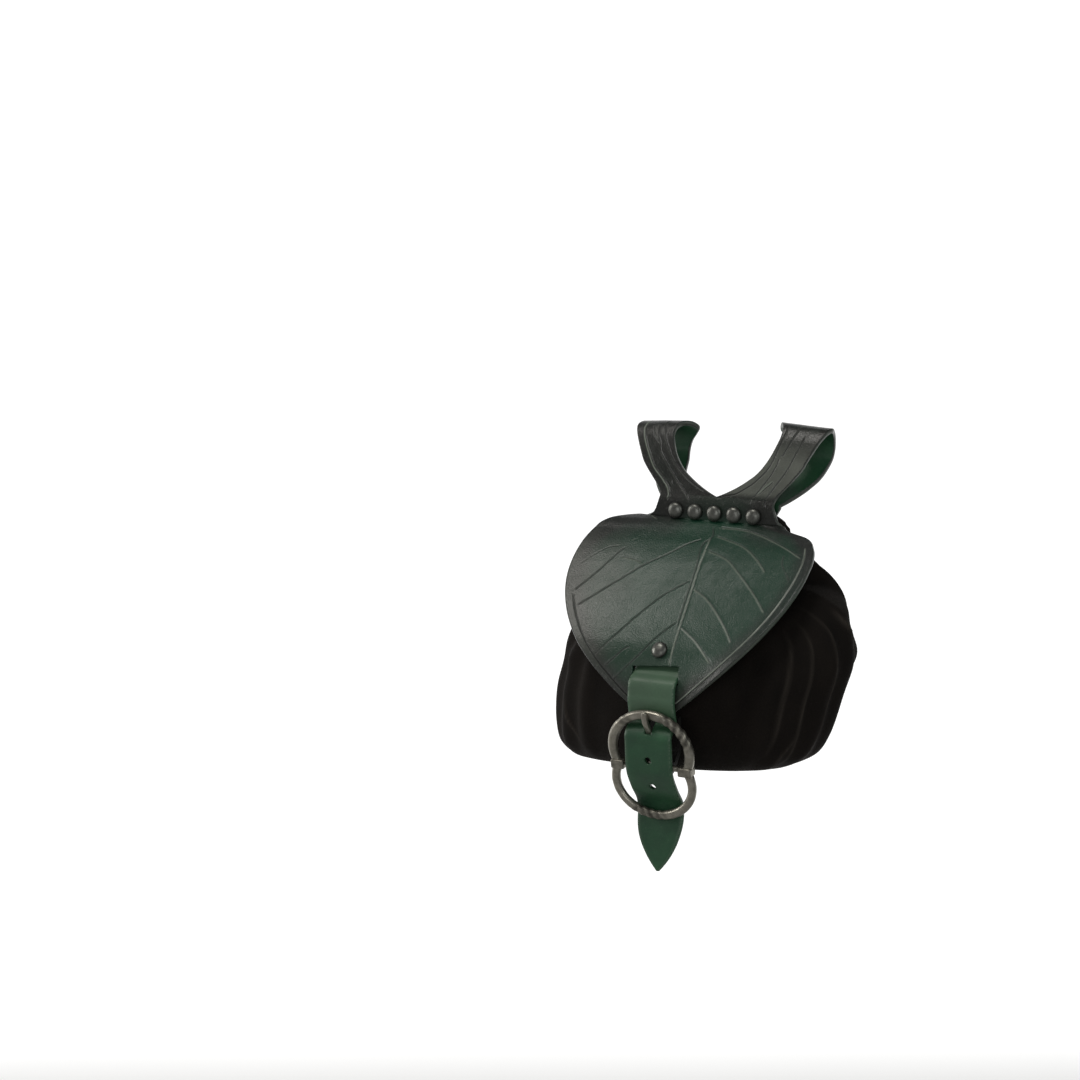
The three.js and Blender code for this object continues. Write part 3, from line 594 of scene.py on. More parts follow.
leafLines = [
    (dark, [
        (0.02, 0.08), (0.055, 0.12), (0.012, 0.157), (0.045, 0.26),
        (0.062, 0.37), (0.077, 0.49), (0.088, 0.7),
    ]),
    (pale, [(0.05, 0.13), (0.072, 0.26), (0.092, 0.37), (0.108, 0.49), (0.113, 0.6), (0.112, 0.72)]),
    (pale, [(0.086, 0.077), (0.34, 0.082), (0.634, 0.12), (0.916, 0.17)]),
    (pale, [(0.092, 0.117), (0.371, 0.152), (0.54, 0.2), (0.665, 0.252)]),
    (pale, [(0.08, 0.181), (0.27, 0.21), (0.433, 0.267), (0.64, 0.35), (0.802, 0.423)]),
    (pale, [(0.1, 0.356), (0.23, 0.39), (0.341, 0.433), (0.5, 0.51), (0.609, 0.574)]),
    (pale, [(0.115, 0.531), (0.288, 0.589), (0.473, 0.679)]),
    (faint, [(0.748, 0.166), (0.77, 0.205), (0.838, 0.241), (0.911, 0.281)]),
    (dark, [(-0.02, 0.136), (-0.11, 0.158), (-0.24, 0.21), (-0.399, 0.269), (-0.6, 0.37), (-0.8, 0.476)]),
    (dark, [(0.04, 0.322), (-0.129, 0.396), (-0.272, 0.492), (-0.41, 0.6), (-0.543, 0.705)]),
    (dark, [(0.067, 0.51), (-0.057, 0.588), (-0.167, 0.677), (-0.365, 0.819)]),
    (dark, [(-0.257, 0.642), (-0.3, 0.655), (-0.354, 0.692), (-0.441, 0.751)]),
    (dark, [(-0.62, 0.195), (-0.648, 0.213), (-0.746, 0.306), (-0.874, 0.408)]),
    (faint, [(-0.669, 0.191), (-0.75, 0.2), (-0.814, 0.224), (-0.932, 0.289)]),
    (pale, [(-0.617, 0.24), (-0.5, 0.248), (-0.411, 0.264)]),
    (faint, [(0.3, 0.044), (0.433, 0.056), (0.559, 0.062)]),
    (pale, [(-0.585, 0.158), (-0.578, 0.166)]),
    (pale, [(-0.565, 0.051), (-0.479, 0.065)]),
]

leftLines = [
    (pale, [
        (12.6, 0.78), (10.9, 0.77), (9.4, 0.78), (7.9, 0.76),
        (6.2, 0.77), (4.6, 0.76), (3.0, 0.8), (1.6, 0.84),
    ]),
    (dark, [
        (11.4, 0.45), (10.2, 0.42), (8.8, 0.37), (8.1, 0.41),
        (7.0, 0.36), (5.4, 0.38), (3.7, 0.47), (1.9, 0.53),
    ]),
    (dark, [
        (12.4, 0.3), (11.1, 0.27), (9.8, 0.2), (8.2, 0.14),
        (7.2, 0.12), (5.7, 0.09), (4.1, 0.09), (2.8, 0.07),
    ]),
    (faint, [(8.8, 0.37), (9.6, 0.5), (10.6, 0.55), (11.6, 0.56)]),
    (faint, [(4.6, 0.52), (4.1, 0.61), (3.6, 0.64)]),
]
rightLines = [
    (dark, [
        (2.1, 0.06), (2.8, 0.2), (3.7, 0.2), (4.6, 0.2), (5.5, 0.17),
        (6.4, 0.16), (7.2, 0.14), (8.2, 0.1), (10.7, 0.1), (12.3, 0.14),
    ]),
    (dark, [(12.5, 0.4), (10.9, 0.36), (9.6, 0.31), (8.8, 0.3), (8.2, 0.3), (8.0, 0.25)]),
    (dark, [(7.9, 0.24), (7.2, 0.3), (6.5, 0.34), (5.6, 0.4), (4.4, 0.48), (2.9, 0.58), (2.1, 0.6)]),
    (pale, [(5.2, 0.6), (4.0, 0.6), (2.6, 0.63)]),
    (dark, [(12.2, 0.6), (9.9, 0.61), (8.1, 0.63), (6.7, 0.67), (4.9, 0.74), (3.3, 0.82), (2.1, 0.85)]),
]

# Lines on the yoke, between the neck and the leaf, on the same rows as the loops
yokeLines = {
    -1: [
        (pale, [(2.4, 0.82), (1.2, 0.84), (0.2, 0.86)]),
        (dark, [(2.4, 0.51), (1.2, 0.5), (0.4, 0.46)]),
        (faint, [(2.0, 0.54), (3.1, 0.36)]),
        (faint, [(2.3, 0.24), (0.9, 0.31)]),
        (faint, [(2.0, 0.22), (1.6, 0.23), (0.9, 0.26)]),
        (dark, [(2.6, 0.06), (2.1, 0.03), (1.8, 0.01)]),
    ],
    1: [
        (dark, [(1.5, 0.02), (1.8, 0.05), (2.3, 0.1)]),
        (dark, [(2.4, 0.59), (1.4, 0.61), (0.6, 0.62)]),
        (pale, [(2.8, 0.62), (2.0, 0.64), (1.2, 0.63)]),
        (dark, [(2.5, 0.84), (1.2, 0.86), (0.1, 0.87)]),
    ],
}

carving = {
    "step": 0.35,
    "margin": 5.0,
    "start": 1.2,
    "end": 2.4,
    "lipAt": 1.5,
    "lipWidth": 0.75,
    "lipHeight": 0.1,
    "slopeWidth": 4.2,
    "slopeDepth": 0.5,
    "batch": 4000,
}


# How deep the lines are cut at each point, with the marks that darken the grooves and paint a highlight on
# one lip of each
def carve(points, normals, lines):
    flat = points.reshape(-1, 3)
    facing = normals.reshape(-1, 3)
    sunk = np.zeros(len(flat))
    marks = {"dark": np.zeros(len(flat)), "light": np.zeros(len(flat))}
    for style, keys in lines:
        path = evenPath(keys, carving["step"])
        margin = carving["margin"]
        inside = ((flat > path.min(0) - margin) & (flat < path.max(0) + margin)).all(axis=1)
        chosen = np.nonzero(inside)[0]
        if not len(chosen):
            continue
        heading = unit(np.gradient(path, axis=0))
        walk = np.linspace(0, 1, len(path))
        length = len(path) * carving["step"]
        start = softStep(0, min(carving["start"] / length, 0.45), walk)
        ends = start * softStep(0, min(carving["end"] / length, 0.5), 1 - walk)
        lipAt = carving["lipAt"] * style["width"]
        lipWidth = carving["lipWidth"] * style["width"]
        slopeWidth = carving["slopeWidth"] * style["width"]
        for part in np.array_split(chosen, max(1, len(chosen) // carving["batch"])):
            offset = flat[part][:, None, :] - path[None]
            distance = np.linalg.norm(offset, axis=2)
            nearest = distance.argmin(axis=1)
            gap = distance[np.arange(len(part)), nearest]
            turned = np.cross(heading[nearest], offset[np.arange(len(part)), nearest])
            upper = (turned * facing[part]).sum(axis=1) > 0
            strength = ends[nearest]
            groove = np.exp(-((gap / style["width"]) ** 2)) * strength
            lip = np.exp(-(((gap - lipAt) / lipWidth) ** 2)) * strength
            slope = np.where(upper, np.exp(-((gap / slopeWidth) ** 2)), 0) * strength
            depth = groove * style["depth"] - lip * carving["lipHeight"]
            depth = depth + slope * style["bevel"] * carving["slopeDepth"]
            before = sunk[part]
            sunk[part] = np.where(depth > 0, np.maximum(before, depth), np.minimum(before, depth + before))
            marks["dark"][part] = np.maximum(marks["dark"][part], groove * style["dark"])
            # Painted highlight on the lip on one side of the line
            edge = np.where(upper, 0.0, 1.0) * lip
            marks["light"][part] = np.maximum(marks["light"][part], edge * style["light"])
    shape = points.shape[:2]
    return sunk.reshape(shape), {key: value.reshape(shape) for key, value in marks.items()}


leatherEdge = {
    "round": 0.55,
    "back": shared["leather"] / 2,
    "light": 0.3,
    "angles": (90, 62, 34, 0, -34, -62, -90),
}


# A cut edge that rounds over from a sheet's front, lift above its middle, to its back
def roundEdge(maker, style, rim, inner, normals, lift, flip, **marks):
    angles = np.radians(style["angles"])[:, None]
    outward = unit(rim - inner)
    reach = np.where(np.sin(angles) > 0, lift, style["back"])
    sides = normals * (np.sin(angles) * reach)[..., None]
    strip = rim + sides + outward * (np.cos(angles) * style["round"])[..., None]
    spread = np.ones(strip.shape[:2])
    marks = {key: spread * value for key, value in marks.items()}
    maker.grid(strip, flip, marks={"light": spread * np.cos(angles) ** 2 * style["light"], **marks})


# Each edge of a sheet, with the row of points next to it
edgePicks = {
    "far": (np.s_[:, -1], np.s_[:, -2]),
    "near": (np.s_[:, 0], np.s_[:, 1]),
    "start": (np.s_[0, :], np.s_[1, :]),
    "end": (np.s_[-1, :], np.s_[-2, :]),
}


# One thick sheet: a carved front, a plain back and rounded cut edges
def leatherSheet(maker, middle, lines, marks, edges, flip=False, backStep=1):
    thick = shared["leather"]
    normals = gridNormals(middle) * (-1 if flip else 1)
    sunk, cut = carve(middle, normals, lines)
    uneven = waves(middle, 21, 4) * 0.12 + waves(middle, 9, 5) * 0.05
    front = middle + normals * (thick / 2 - sunk + uneven)[..., None]
    marks = {**marks, **cut}
    maker.grid(front, flip, marks=marks)
    back = middle - normals * thick / 2
    rows = np.unique(np.append(np.arange(0, len(back), backStep), len(back) - 1))
    columns = np.unique(np.append(np.arange(0, back.shape[1], backStep), back.shape[1] - 1))
    coarse = np.ix_(rows, columns)
    maker.grid(back[coarse], not flip, marks={"rub": marks["rub"][coarse]})
    for edge in edges:
        pick, inner = edgePicks[edge]
        lift = lengths(front[pick] - middle[pick])[:, 0]
        turned = (edge in ("far", "start")) != flip
        rub = marks["rub"][pick]
        roundEdge(maker, leatherEdge, middle[pick], middle[inner], normals[pick], lift, turned, rub=rub)


# Places down the leaf, from its tip up, close together wherever its middle or its edge runs far
def leafDrops():
    fine = np.linspace(1, 0, 4001)
    middle, edge = (lengths(np.diff(leafPoint(share, fine), axis=0)) for share in (0, leafEdge(-1, fine)))
    walked = np.concatenate([[0], np.cumsum(np.maximum(middle, 0.55 * edge))])
    return np.interp(np.arange(0, walked[-1], leaf["step"]), walked, fine)


def leafPiece():
    shares = np.linspace(-1, 1, 2 * leaf["columns"] - 1)
    drops = leafDrops()
    middle = leafPoint(shares[None, :] * leafEdge(shares[None, :], drops[:, None]), drops[:, None])
    heights = [row["height"] for row in loopRows[:neckRow + 1]]
    rise = np.concatenate([[0.0], np.linspace(heights[0], heights[-1], 9)])
    levels = np.interp(rise, heights, range(neckRow + 1))
    yoke = loopPoint(1, levels[:, None], np.abs(shares)[None, :])
    yoke[..., 0] *= np.sign(shares)[None, :]
    yoke[0] = leafPoint(shares * leafRows[0]["left"], 0)
    middle = np.concatenate([middle[:-1], yoke])
    above = middle[..., 2] - rowZ
    x = middle[..., 0] / leaf["half"]
    drop = -above / leaf["length"]
    # Dye is rubbed in along the edge, at the shoulders, on the left and near the tip
    half = leafEdge(x, np.clip(drop, 0, 1))
    inset = (half - np.abs(x)) * leaf["half"]
    fade = softStep(16, 1, inset) * 0.75 + softStep(0.2, 0.02, drop) * softStep(0.12, 0.4, np.abs(x)) * 0.8
    fade = fade + softStep(0.1, 0.8, -x) * 0.35 + softStep(0.55, 0.95, drop) * 0.35
    # Painted sheen, pale on the leaf's left and on its lower part
    sheenGrey = softStep(0.3, 0.9, -x) * softStep(0.08, 0.3, drop) * 0.55 + softStep(0.5, 0.8, drop) * 0.25
    marks = {"rub": np.clip(fade, 0, 1.3), "yoke": softStep(0.05, -0.01, drop), "pale": sheenGrey}
    lines = [(style, leafPoint(*np.transpose(path))) for style, path in leafLines]
    for side, top in leaf["borderTops"].items():
        places = np.linspace(top, leaf["borderEnd"], 26)
        edge = leafEdge(side, places) - leaf["border"] / leaf["half"]
        lines.append((dark if side < 0 else pale, leafPoint(side * np.maximum(edge, 0.0), places)))
    for side in (1, -1):
        for style, path in yokeLines[side]:
            lines.append((style, loopPoint(1, *np.transpose(path)) * (side, 1, 1)))
    maker = MeshMaker()
    leatherSheet(maker, middle, lines, marks, ["far", "near", "start"], backStep=3)
    piece = maker.piece("tooled_leaf")
    cutWith(piece, [slitTool()])
    settle(piece, leafLeather, "leaf_flap")


# The leaf's own axes at its centre line: x across, y behind it, z up it
def leafFrame(drop):
    up = unit(leafPoint(0, drop - 0.01) - leafPoint(0, drop + 0.01))
    across = np.array([1.0, 0, 0])
    back = np.cross(up, across)
    return np.stack([across, back, up], axis=1), leafPoint(0, drop)


def slitTool():
    turn = Matrix.Rotation(math.radians(leaf["slitTurn"]), 4, "Y")
    matrix = toMatrix(*leafFrame(leaf["slitDrop"] / leaf["length"])) @ turn
    return boxTool((leaf["slitWidth"], cutThrough, leaf["slitHeight"]), matrix)


def loopPiece(side, name, lines):
    levels = np.linspace(neckRow, loopRows[-1]["at"], 2000)
    walked = walkedTo(loopPoint(1, levels, 0.5))
    places = np.interp(np.arange(0, walked[-1], loop["step"]), walked, levels)
    shares = np.linspace(0, 1, loop["columns"])
    strap = loopPoint(side, places[:, None], shares[None, :])
    strap[..., 0] *= side
    endMiddle = shared["leather"] + shared["clothGap"] + shared["cloth"] + shared["clearance"]
    near, far = shared["rivetPitch"] / 2, 2 * shared["rivetPitch"] + loop["endMargin"]
    keys = [strap[-1, [0, -1]]]
    for row in endRows:
        sides = (near + row["near"], far + row["far"])
        keys.append(np.array([(x, endMiddle, rowZ + row["up"]) for x in sides]))
    tail = []
    for low, high in zip(keys[:-1], keys[1:]):
        for t in np.linspace(0, 1, 9)[1:]:
            left, right = low * (1 - t) + high * t
            tail.append(left + (right - left) * shares[:, None])
    middle = np.concatenate([strap, np.array(tail)])
    middle[..., 0] *= side
    place = np.broadcast_to(np.linspace(0, 1, len(middle))[:, None], middle.shape[:2])
    edge = softStep(0.2, 0.0, np.minimum(shares, 1 - shares))[None, :]
    brown = softStep(0.6, 0.3, place)
    marks = {"rub": 0.75 + 0.4 * edge * np.ones_like(place), "yoke": brown}
    # The right loop's front gets a painted sheen, fading towards both ends
    if side > 0:
        marks["pale"] = softStep(0.0, 0.05, place) * softStep(0.36, 0.2, place) * 1.05
    cutLines = [(style, loopPoint(side, *np.transpose(path))) for style, path in lines]
    maker = MeshMaker()
    leatherSheet(maker, middle, cutLines, marks, ["far", "near", "end"], flip=side < 0)
    piece = maker.piece(name)
    settle(piece, leafLeather, "leaf_flap")
    piece.data.materials.append(strapLeather)
    count = (len(middle) - 1) * (len(shares) - 1)
    slots = np.zeros(len(piece.data.polygons), np.int32)
    slots[count:2 * count] = 1  # the back of the sheet is green
    piece.data.polygons.foreach_set("material_index", slots)


leafPiece()
loopPiece(1, "belt_loop_right", rightLines)
loopPiece(-1, "belt_loop_left", leftLines)
print("stage: leaf and loops")


# The gathered velvet bag
bag = {
    "height": 129,
    "width": 160,
    "depth": 70,
    "front": 58,
    "foldDepth": 4.5,
    "foldSink": 1.575,
    "sideSquare": 0.12,
    "turns": 264,
    "levels": 110,
}
bagRows = table("left right front back square frontZ backZ tilt", [
    (0.3, 0.24, 0.66, 0.22, 0.12, 0.992, 0.992, 0.02),
    (0.445, 0.35, 0.8, 0.4, 0.12, 0.978, 0.975, 0.034),
    (0.474, 0.425, 0.905, 0.62, 0.12, 0.925, 0.93, 0.036),
    (0.478, 0.47, 0.975, 0.8, 0.12, 0.84, 0.84, 0.03),
    (0.466, 0.51, 1, 0.9, 0.12, 0.7, 0.68, 0.03),
    (0.442, 0.543, 0.985, 0.88, 0.16, 0.61, 0.47, 0.045),
    (0.428, 0.516, 0.9, 0.68, 0.3, 0.53, 0.29, 0.06),
    (0.366, 0.425, 0.82, 0, 0.8, 0.46, 0.13, 0.05),
])
mouthRows = table("turn side forward drop", [
    (0, 0, 0, -0.035),
    (25, 0.15, 0, -0.035),
    (38, 0.196, 0, -0.015),
    (50, 0.243, 0, 0.045),
    (64, 0.28, 0.1, 0.125),
    (84, 0.3, 0.3, 0.215),
    (110, 0.272, 0.54, 0.3),
    (140, 0.18, 0.74, 0.372),
    (180, 0, 0.83, 0.405),
])
foldRows = table("turn lean depth spread", [
    (38, 6, 0.75, 6.5),
    (55, -3, 0.9, 7),
    (71, -5, 1, 7.5),
    (92, -8, 0.8, 7),
    (114, -4, 0.6, 8),
    (140, 4, 0.55, 8),
    (163, 3, 0.5, 8),
    (190, 0, 0.5, 8),
    (214, -4, 0.6, 8),
    (238, 3, 0.7, 7),
    (262, 6, 0.85, 7),
    (283, 5, 0.9, 7.5),
    (304, 3, 0.7, 7),
    (321, -3, 0.55, 6),
])

# Sharp little ridges where the cloth is pulled together: from one turn and level to another
ridgeRows = table("turn level height width", [
    ((50, 45), (0.8, 0.3), 0.9, 0.9),
    ((60, 58), (0.8, 0.2), 1, 0.9),
    ((73, 74), (0.86, 0.3), 0.9, 0.9),
    ((86, 93), (0.8, 0.66), 1.2, 1.4),
    ((58, 55), (0.42, 0.16), 0.8, 0.8),
    ((305, 316), (0.46, 0.3), 0.8, 0.9),
    ((150, 147), (0.7, 0.3), 0.8, 1),
    ((208, 213), (0.75, 0.35), 0.8, 1),
    ((240, 236), (0.8, 0.4), 0.9, 1),
])

# Round bulges and dents where the cloth is bunched
bunchRows = table("turn level height spread tall", [
    (116, 0.6, 3.2, 17, 0.045),
    (112, 0.7, -2.4, 13, 0.03),
    (98, 0.78, 2, 12, 0.04),
    (300, 0.66, 1.8, 14, 0.06),
])


# The bag's sections, from its bottom to its mouth. turns go round it from the front, over the right.
def bagKeys(turns):
    s, c = np.sin(turns), np.cos(turns)
    backFace = shared["leather"] / 2 + shared["clothGap"] + shared["cloth"]
    keys = []
    for row in bagRows:
        front = -row["front"] * bag["front"]
        back = backFace + (bag["depth"] - bag["front"] - backFace) * row["back"]
        square = np.where(c > 0, bag["sideSquare"], row["square"])
        middle = (front + back) / 2
        y = middle + (np.where(c > 0, front, back) - middle) * np.abs(c) ** (1 - square)
        width = np.where(s > 0, row["right"], row["left"]) * bag["width"]
        x = squared(s, 1 - bag["sideSquare"]) * width
        share = (c + 1) / 2
        down = row["backZ"] + (row["frontZ"] - row["backZ"]) * share - row["tilt"] * x / (bag["width"] / 2)
        keys.append(np.stack([x, y, rowZ - down * bag["height"]], axis=-1))
    fromBack = np.abs(180 - np.degrees(turns))
    value = {key: lookUp(mouthRows, "turn", key, fromBack) for key in ("side", "forward", "drop")}
    x = np.where(turns < math.pi, 1, -1) * value["side"] * bag["width"]
    y = backFace - value["forward"] * bag["front"]
    keys.append(np.stack([x, y, rowZ - value["drop"] * bag["height"]], axis=-1))
    return np.array(keys)


# How far folds, ridges and bulges stand out at one level
def bagFolds(turns, level, place):
    now = np.degrees(turns)

    def away(turn):
        gap = np.abs(now - turn)
        return np.minimum(gap, 360 - gap)

    total = np.zeros_like(turns)
    for fold in foldRows:
        gap = away(fold["turn"] + fold["lean"] * (level - 0.5)) / fold["spread"]
        total += fold["depth"] * np.exp(-gap * gap)
    total *= max(math.sin(math.pi * level * 0.9), 0) ** 0.8
    nearYoke = np.where(np.cos(turns) < -0.5, max(0, 1 - level * 1.25), 1)
    fade = min(1, level * 4) * min(1, (1 - level) * 8)
    broad = (total * bag["foldDepth"] - bag["foldSink"]) * nearYoke * fade
    ridges = np.zeros_like(turns)
    for ridge in ridgeRows:
        top, low = ridge["level"]
        t = (top - level) / (top - low)
        if not -0.1 < t < 1.1:
            continue
        start, end = ridge["turn"]
        gap = away(start + (end - start) * t + 1.6 * math.sin(5 * t + top * 20)) / ridge["width"]
        strength = math.sin(math.pi * min(max((t + 0.1) / 1.2, 0), 1))
        ridges = np.maximum(ridges, np.exp(-np.abs(gap) ** 1.5) * strength * ridge["height"])
    for bunch in bunchRows:
        gap = (now - bunch["turn"]) / bunch["spread"]
        rise = (level - bunch["level"]) / bunch["tall"]
        broad = broad + bunch["height"] * np.exp(-gap * gap - rise * rise)
    soft = waves(place, 34, 11) * 0.7 + waves(place * (1, 1, 0.5), 13, 12) * 0.35
    return broad + ridges * nearYoke + soft * nearYoke * min(1, level * 5) * min(1, (1 - level) * 6), ridges


def bagPiece():
    turns = np.arange(bag["turns"]) / bag["turns"] * 2 * math.pi
    keys = bagKeys(turns)
    outward = np.stack([np.sin(turns), -np.cos(turns), np.zeros_like(turns)], axis=-1)
    outer = []
    marks = []
    for level in np.linspace(0, 1, bag["levels"] + 1):
        place = curveAt(keys, level)
        height, ridges = bagFolds(turns, level, place)
        outer.append(place + outward * height[:, None])
        # The ridges also set where the velvet gets its painted highlight
        marks.append(np.clip(ridges, 0, 1))
    outer, marks = np.array(outer), np.array(marks)
    up = np.gradient(outer, axis=0)
    across = np.roll(outer, -1, axis=1) - np.roll(outer, 1, axis=1)
    inner = outer - unit(np.cross(across, up)) * shared["cloth"]
    maker = MeshMaker()
    maker.grid(outer, ring=True, marks={"ridge": marks})
    maker.grid(inner, flip=True, ring=True)
    maker.grid(np.stack([outer[-1], inner[-1]]), ring=True)
    for row, lift in ((outer[0], 0), (inner[0], shared["cloth"])):
        centre = row.mean(axis=0)
        low = rowZ - bag["height"] + lift
        rings = []
        for inward, down in ((0, 0), (0.3, 0.5), (0.6, 0.85), (0.85, 1)):
            ring = row + (centre - row) * inward
            ring[:, 2] += (low - ring[:, 2]) * down
            rings.append(ring)
        maker.grid(np.array(rings), lift == 0, ring=True)
        maker.fan(rings[-1], (centre[0], centre[1], low))
    settle(maker.piece("velvet_bag", outward=True), velvet, "pouch_bag")


bagPiece()
print("stage: bag")


# Domed rivets, each a little uneven from the hammer
rivet = {"cap": 4.25, "height": 2.6, "shank": 1.5, "back": 3.65, "backHeight": 1.2, "sides": 48}


def rivetPiece(name, node, grip, axes, place, seed):
    cap, height, shank, back = (rivet[key] for key in ("cap", "height", "shank", "back"))
    end = grip + rivet["backHeight"]
    angles = np.linspace(0, math.pi / 2, 15)
    profile = [(cap * math.sin(a) ** 0.92, -height * (0.1 + 0.9 * math.cos(a) ** 0.9)) for a in angles]
    profile += [(cap * 0.99, -height * 0.04), (cap * 0.94, 0), (shank, 0.02)]
    profile += [(shank, grip), (back, grip), (back, grip + 0.5), (back * 0.9, end), (0.0, end)]
    profile = np.array(profile)
    turns = np.arange(rivet["sides"]) / rivet["sides"] * 2 * math.pi
    ring = np.stack([np.sin(turns), np.zeros_like(turns), np.cos(turns)], axis=-1)
    local = ring[None] * profile[:, 0][:, None, None]
    local[..., 1] = profile[:, 1][:, None]
    dent = waves(local + seed * 13.0, 5.0, 40 + seed) * 0.08
    local[..., 1] += np.where(profile[:, 1] < -0.3, 1, 0)[:, None] * dent
    rim = np.broadcast_to(softStep(0.8, 1.0, profile[:, 0] / cap)[:, None], local.shape[:2])
    maker = MeshMaker()
    maker.grid(local @ axes.T + place, flip=True, ring=True, marks={"dark": rim * 0.5})
    settle(maker.piece(name), rivetMetal, node)


# What each rivet holds: the middle one has no loop end behind it, and the flap's holds the strap
clearance = shared["clearance"]
middleGrip = shared["leather"] + shared["cloth"] + shared["clothGap"] + 2 * clearance
yokeGrip = middleGrip + shared["leather"] + clearance
flapGrip = shared["leather"] + shared["strapThick"] + 4 * clearance
frontFace = -shared["leather"] / 2 - clearance
for index in range(5):
    seat = np.array([(index - 2) * shared["rivetPitch"], frontFace, rowZ])
    grip = middleGrip if index == 2 else yokeGrip
    rivetPiece(f"domed_rivet_{index + 1}", f"yoke_rivet_{index + 1}", grip, np.eye(3), seat, index + 1)
flapAxes, flapPlace = leafFrame(shared["flapRivetDrop"] / leaf["length"])
flapSeat = flapPlace + flapAxes @ np.array([0, frontFace, 0])
rivetPiece("domed_flap_rivet", "flap_rivet", flapGrip, flapAxes, flapSeat, 7)
print("stage: rivets")


# Buckle: its own axes are x across, out of the front and up the frame
buckle = {
    "drop": 121.2,
    "reach": 67.6,
    "lean": math.radians(11),
    "width": 48.5,
    "upper": 31,
    "lower": 29,
    "rimWidth": 4.9,
    "rimThick": 4.4,
    "waist": 0.88,
    "bar": 3,
    "barBack": 1.2,
    "knob": (7.4, 6.2, 4.8),
    "knobRound": 0.9,
    "square": 0.86,
    "twistPitch": 4.6,
    "twistSlant": 2.0,
    "sides": 26,
    "steps": 110,
}
rimHalf = (buckle["width"] - buckle["rimWidth"]) / 2
waistX = rimHalf * buckle["waist"]
frameUp = np.array([0, -math.sin(buckle["lean"]), math.cos(buckle["lean"])])
frameOut = np.array([0, -math.cos(buckle["lean"]), -math.sin(buckle["lean"])])
frameMiddle = np.array([0, -buckle["reach"], rowZ - buckle["drop"]])
frameAxes = np.stack([np.array([1.0, 0, 0]), -frameOut, frameUp], axis=1)


# A place on the buckle's own axes
def onFrame(x, out, up):
    x, out, up = np.broadcast_arrays(np.asarray(x, float), np.asarray(out, float), np.asarray(up, float))
    place = frameMiddle + out[..., None] * frameOut + up[..., None] * frameUp
    place[..., 0] = x
    return place


# The middle line of one lobe's rim, up from the waist for sign 1 and down for -1
def lobe(height, sign):
    sink = math.sqrt(1 - buckle["waist"] ** 2)
    halfHigh = (height - buckle["rimWidth"] / 2) / (1 + sink)
    start = -math.asin(sink)
    angles = start + (math.pi - 2 * start) * np.arange(buckle["steps"]) / buckle["steps"]
    return np.stack([sign * rimHalf * np.cos(angles), sign * halfHigh * (sink + np.sin(angles))], axis=-1)


# Where the rim is twisted: places round the rim as angles from the right, and how long each twist is
twists = table("at reach deep", [
    (52, 28, 0.42),
    (118, 12, 0.25),
    (262, 26, 0.4),
])


def bucklePiece():
    route = np.concatenate([lobe(buckle["upper"], 1), lobe(buckle["lower"], -1)])
    around = np.roll(route, -1, axis=0) - np.roll(route, 1, axis=0)
    outward = unit(np.stack([around[:, 1], -around[:, 0]], axis=-1))
    walked = walkedTo(route)
    bearing = np.degrees(np.arctan2(route[:, 1], route[:, 0])) % 360
    angles = np.arange(buckle["sides"]) / buckle["sides"] * 2 * math.pi
    zone = np.zeros(len(route))
    for twist in twists:
        share = np.abs(bearing - twist["at"]) / twist["reach"]
        zone = np.maximum(zone, twist["deep"] * softStep(1.0, 0.55, share))
    phase = walked[:, None] * 2 * math.pi / buckle["twistPitch"] + angles[None, :] * buckle["twistSlant"]
    wave = (0.5 - 0.5 * np.cos(phase)) ** 2.2
    groove = zone[:, None] * (1 - wave)
    swell = 1 + 0.06 * np.sin(walked / 9.0)[:, None] + 0.05 * np.sin(np.radians(bearing))[:, None]
    c, s = np.cos(angles)[None, :], np.sin(angles)[None, :]
    side = squared(c, buckle["square"]) * (buckle["rimWidth"] / 2) * swell - groove * 0.8 * c
    out = squared(s, buckle["square"]) * (buckle["rimThick"] / 2) * swell - groove * 0.8 * s
    x = route[:, 0][:, None] + outward[:, 0][:, None] * side
    up = route[:, 1][:, None] + outward[:, 1][:, None] * side
    rings = onFrame(x, out, up)
    rings = rings + waves(rings, 7, 21)[..., None] * 0.08 * frameOut
    rings = np.concatenate([rings, rings[:1]])
    cuts = np.concatenate([groove, groove[:1]])
    maker = MeshMaker()
    maker.grid(rings, ring=True, marks={"dark": np.clip(cuts * 1.3, 0, 1)})
    piece = maker.piece("cast_buckle", outward=True)
    work = bmesh.new()
    work.from_mesh(piece.data)
    layer = work.verts.layers.float["dark"]
    for sign in (1, -1):
        matrix = toMatrix(frameAxes, onFrame(sign * waistX, 0, 0)) @ sized(buckle["knob"])
        made = bmesh.ops.create_cube(work, size=1, matrix=matrix)["verts"]
        edges = list(dict.fromkeys(edge for vert in made for edge in vert.link_edges))
        rounding = {"offset": buckle["knobRound"] / metre, "segments": 4, "profile": 0.6, "affect": "EDGES"}
        bevel = bmesh.ops.bevel(work, geom=edges, **rounding)
        for vert in bevel["verts"]:
            vert[layer] = 0.15
    matrix = toMatrix(frameAxes, onFrame(0, -buckle["barBack"], 0)) @ Matrix.Rotation(math.pi / 2, 4, "Y")
    addRod(work, buckle["bar"] / 2, 2 * waistX, 24, matrix)
    work.to_mesh(piece.data)
    work.free()
    piece.data.shade_smooth()
    settle(piece, pewterMetal, "buckle_frame")


bucklePiece()

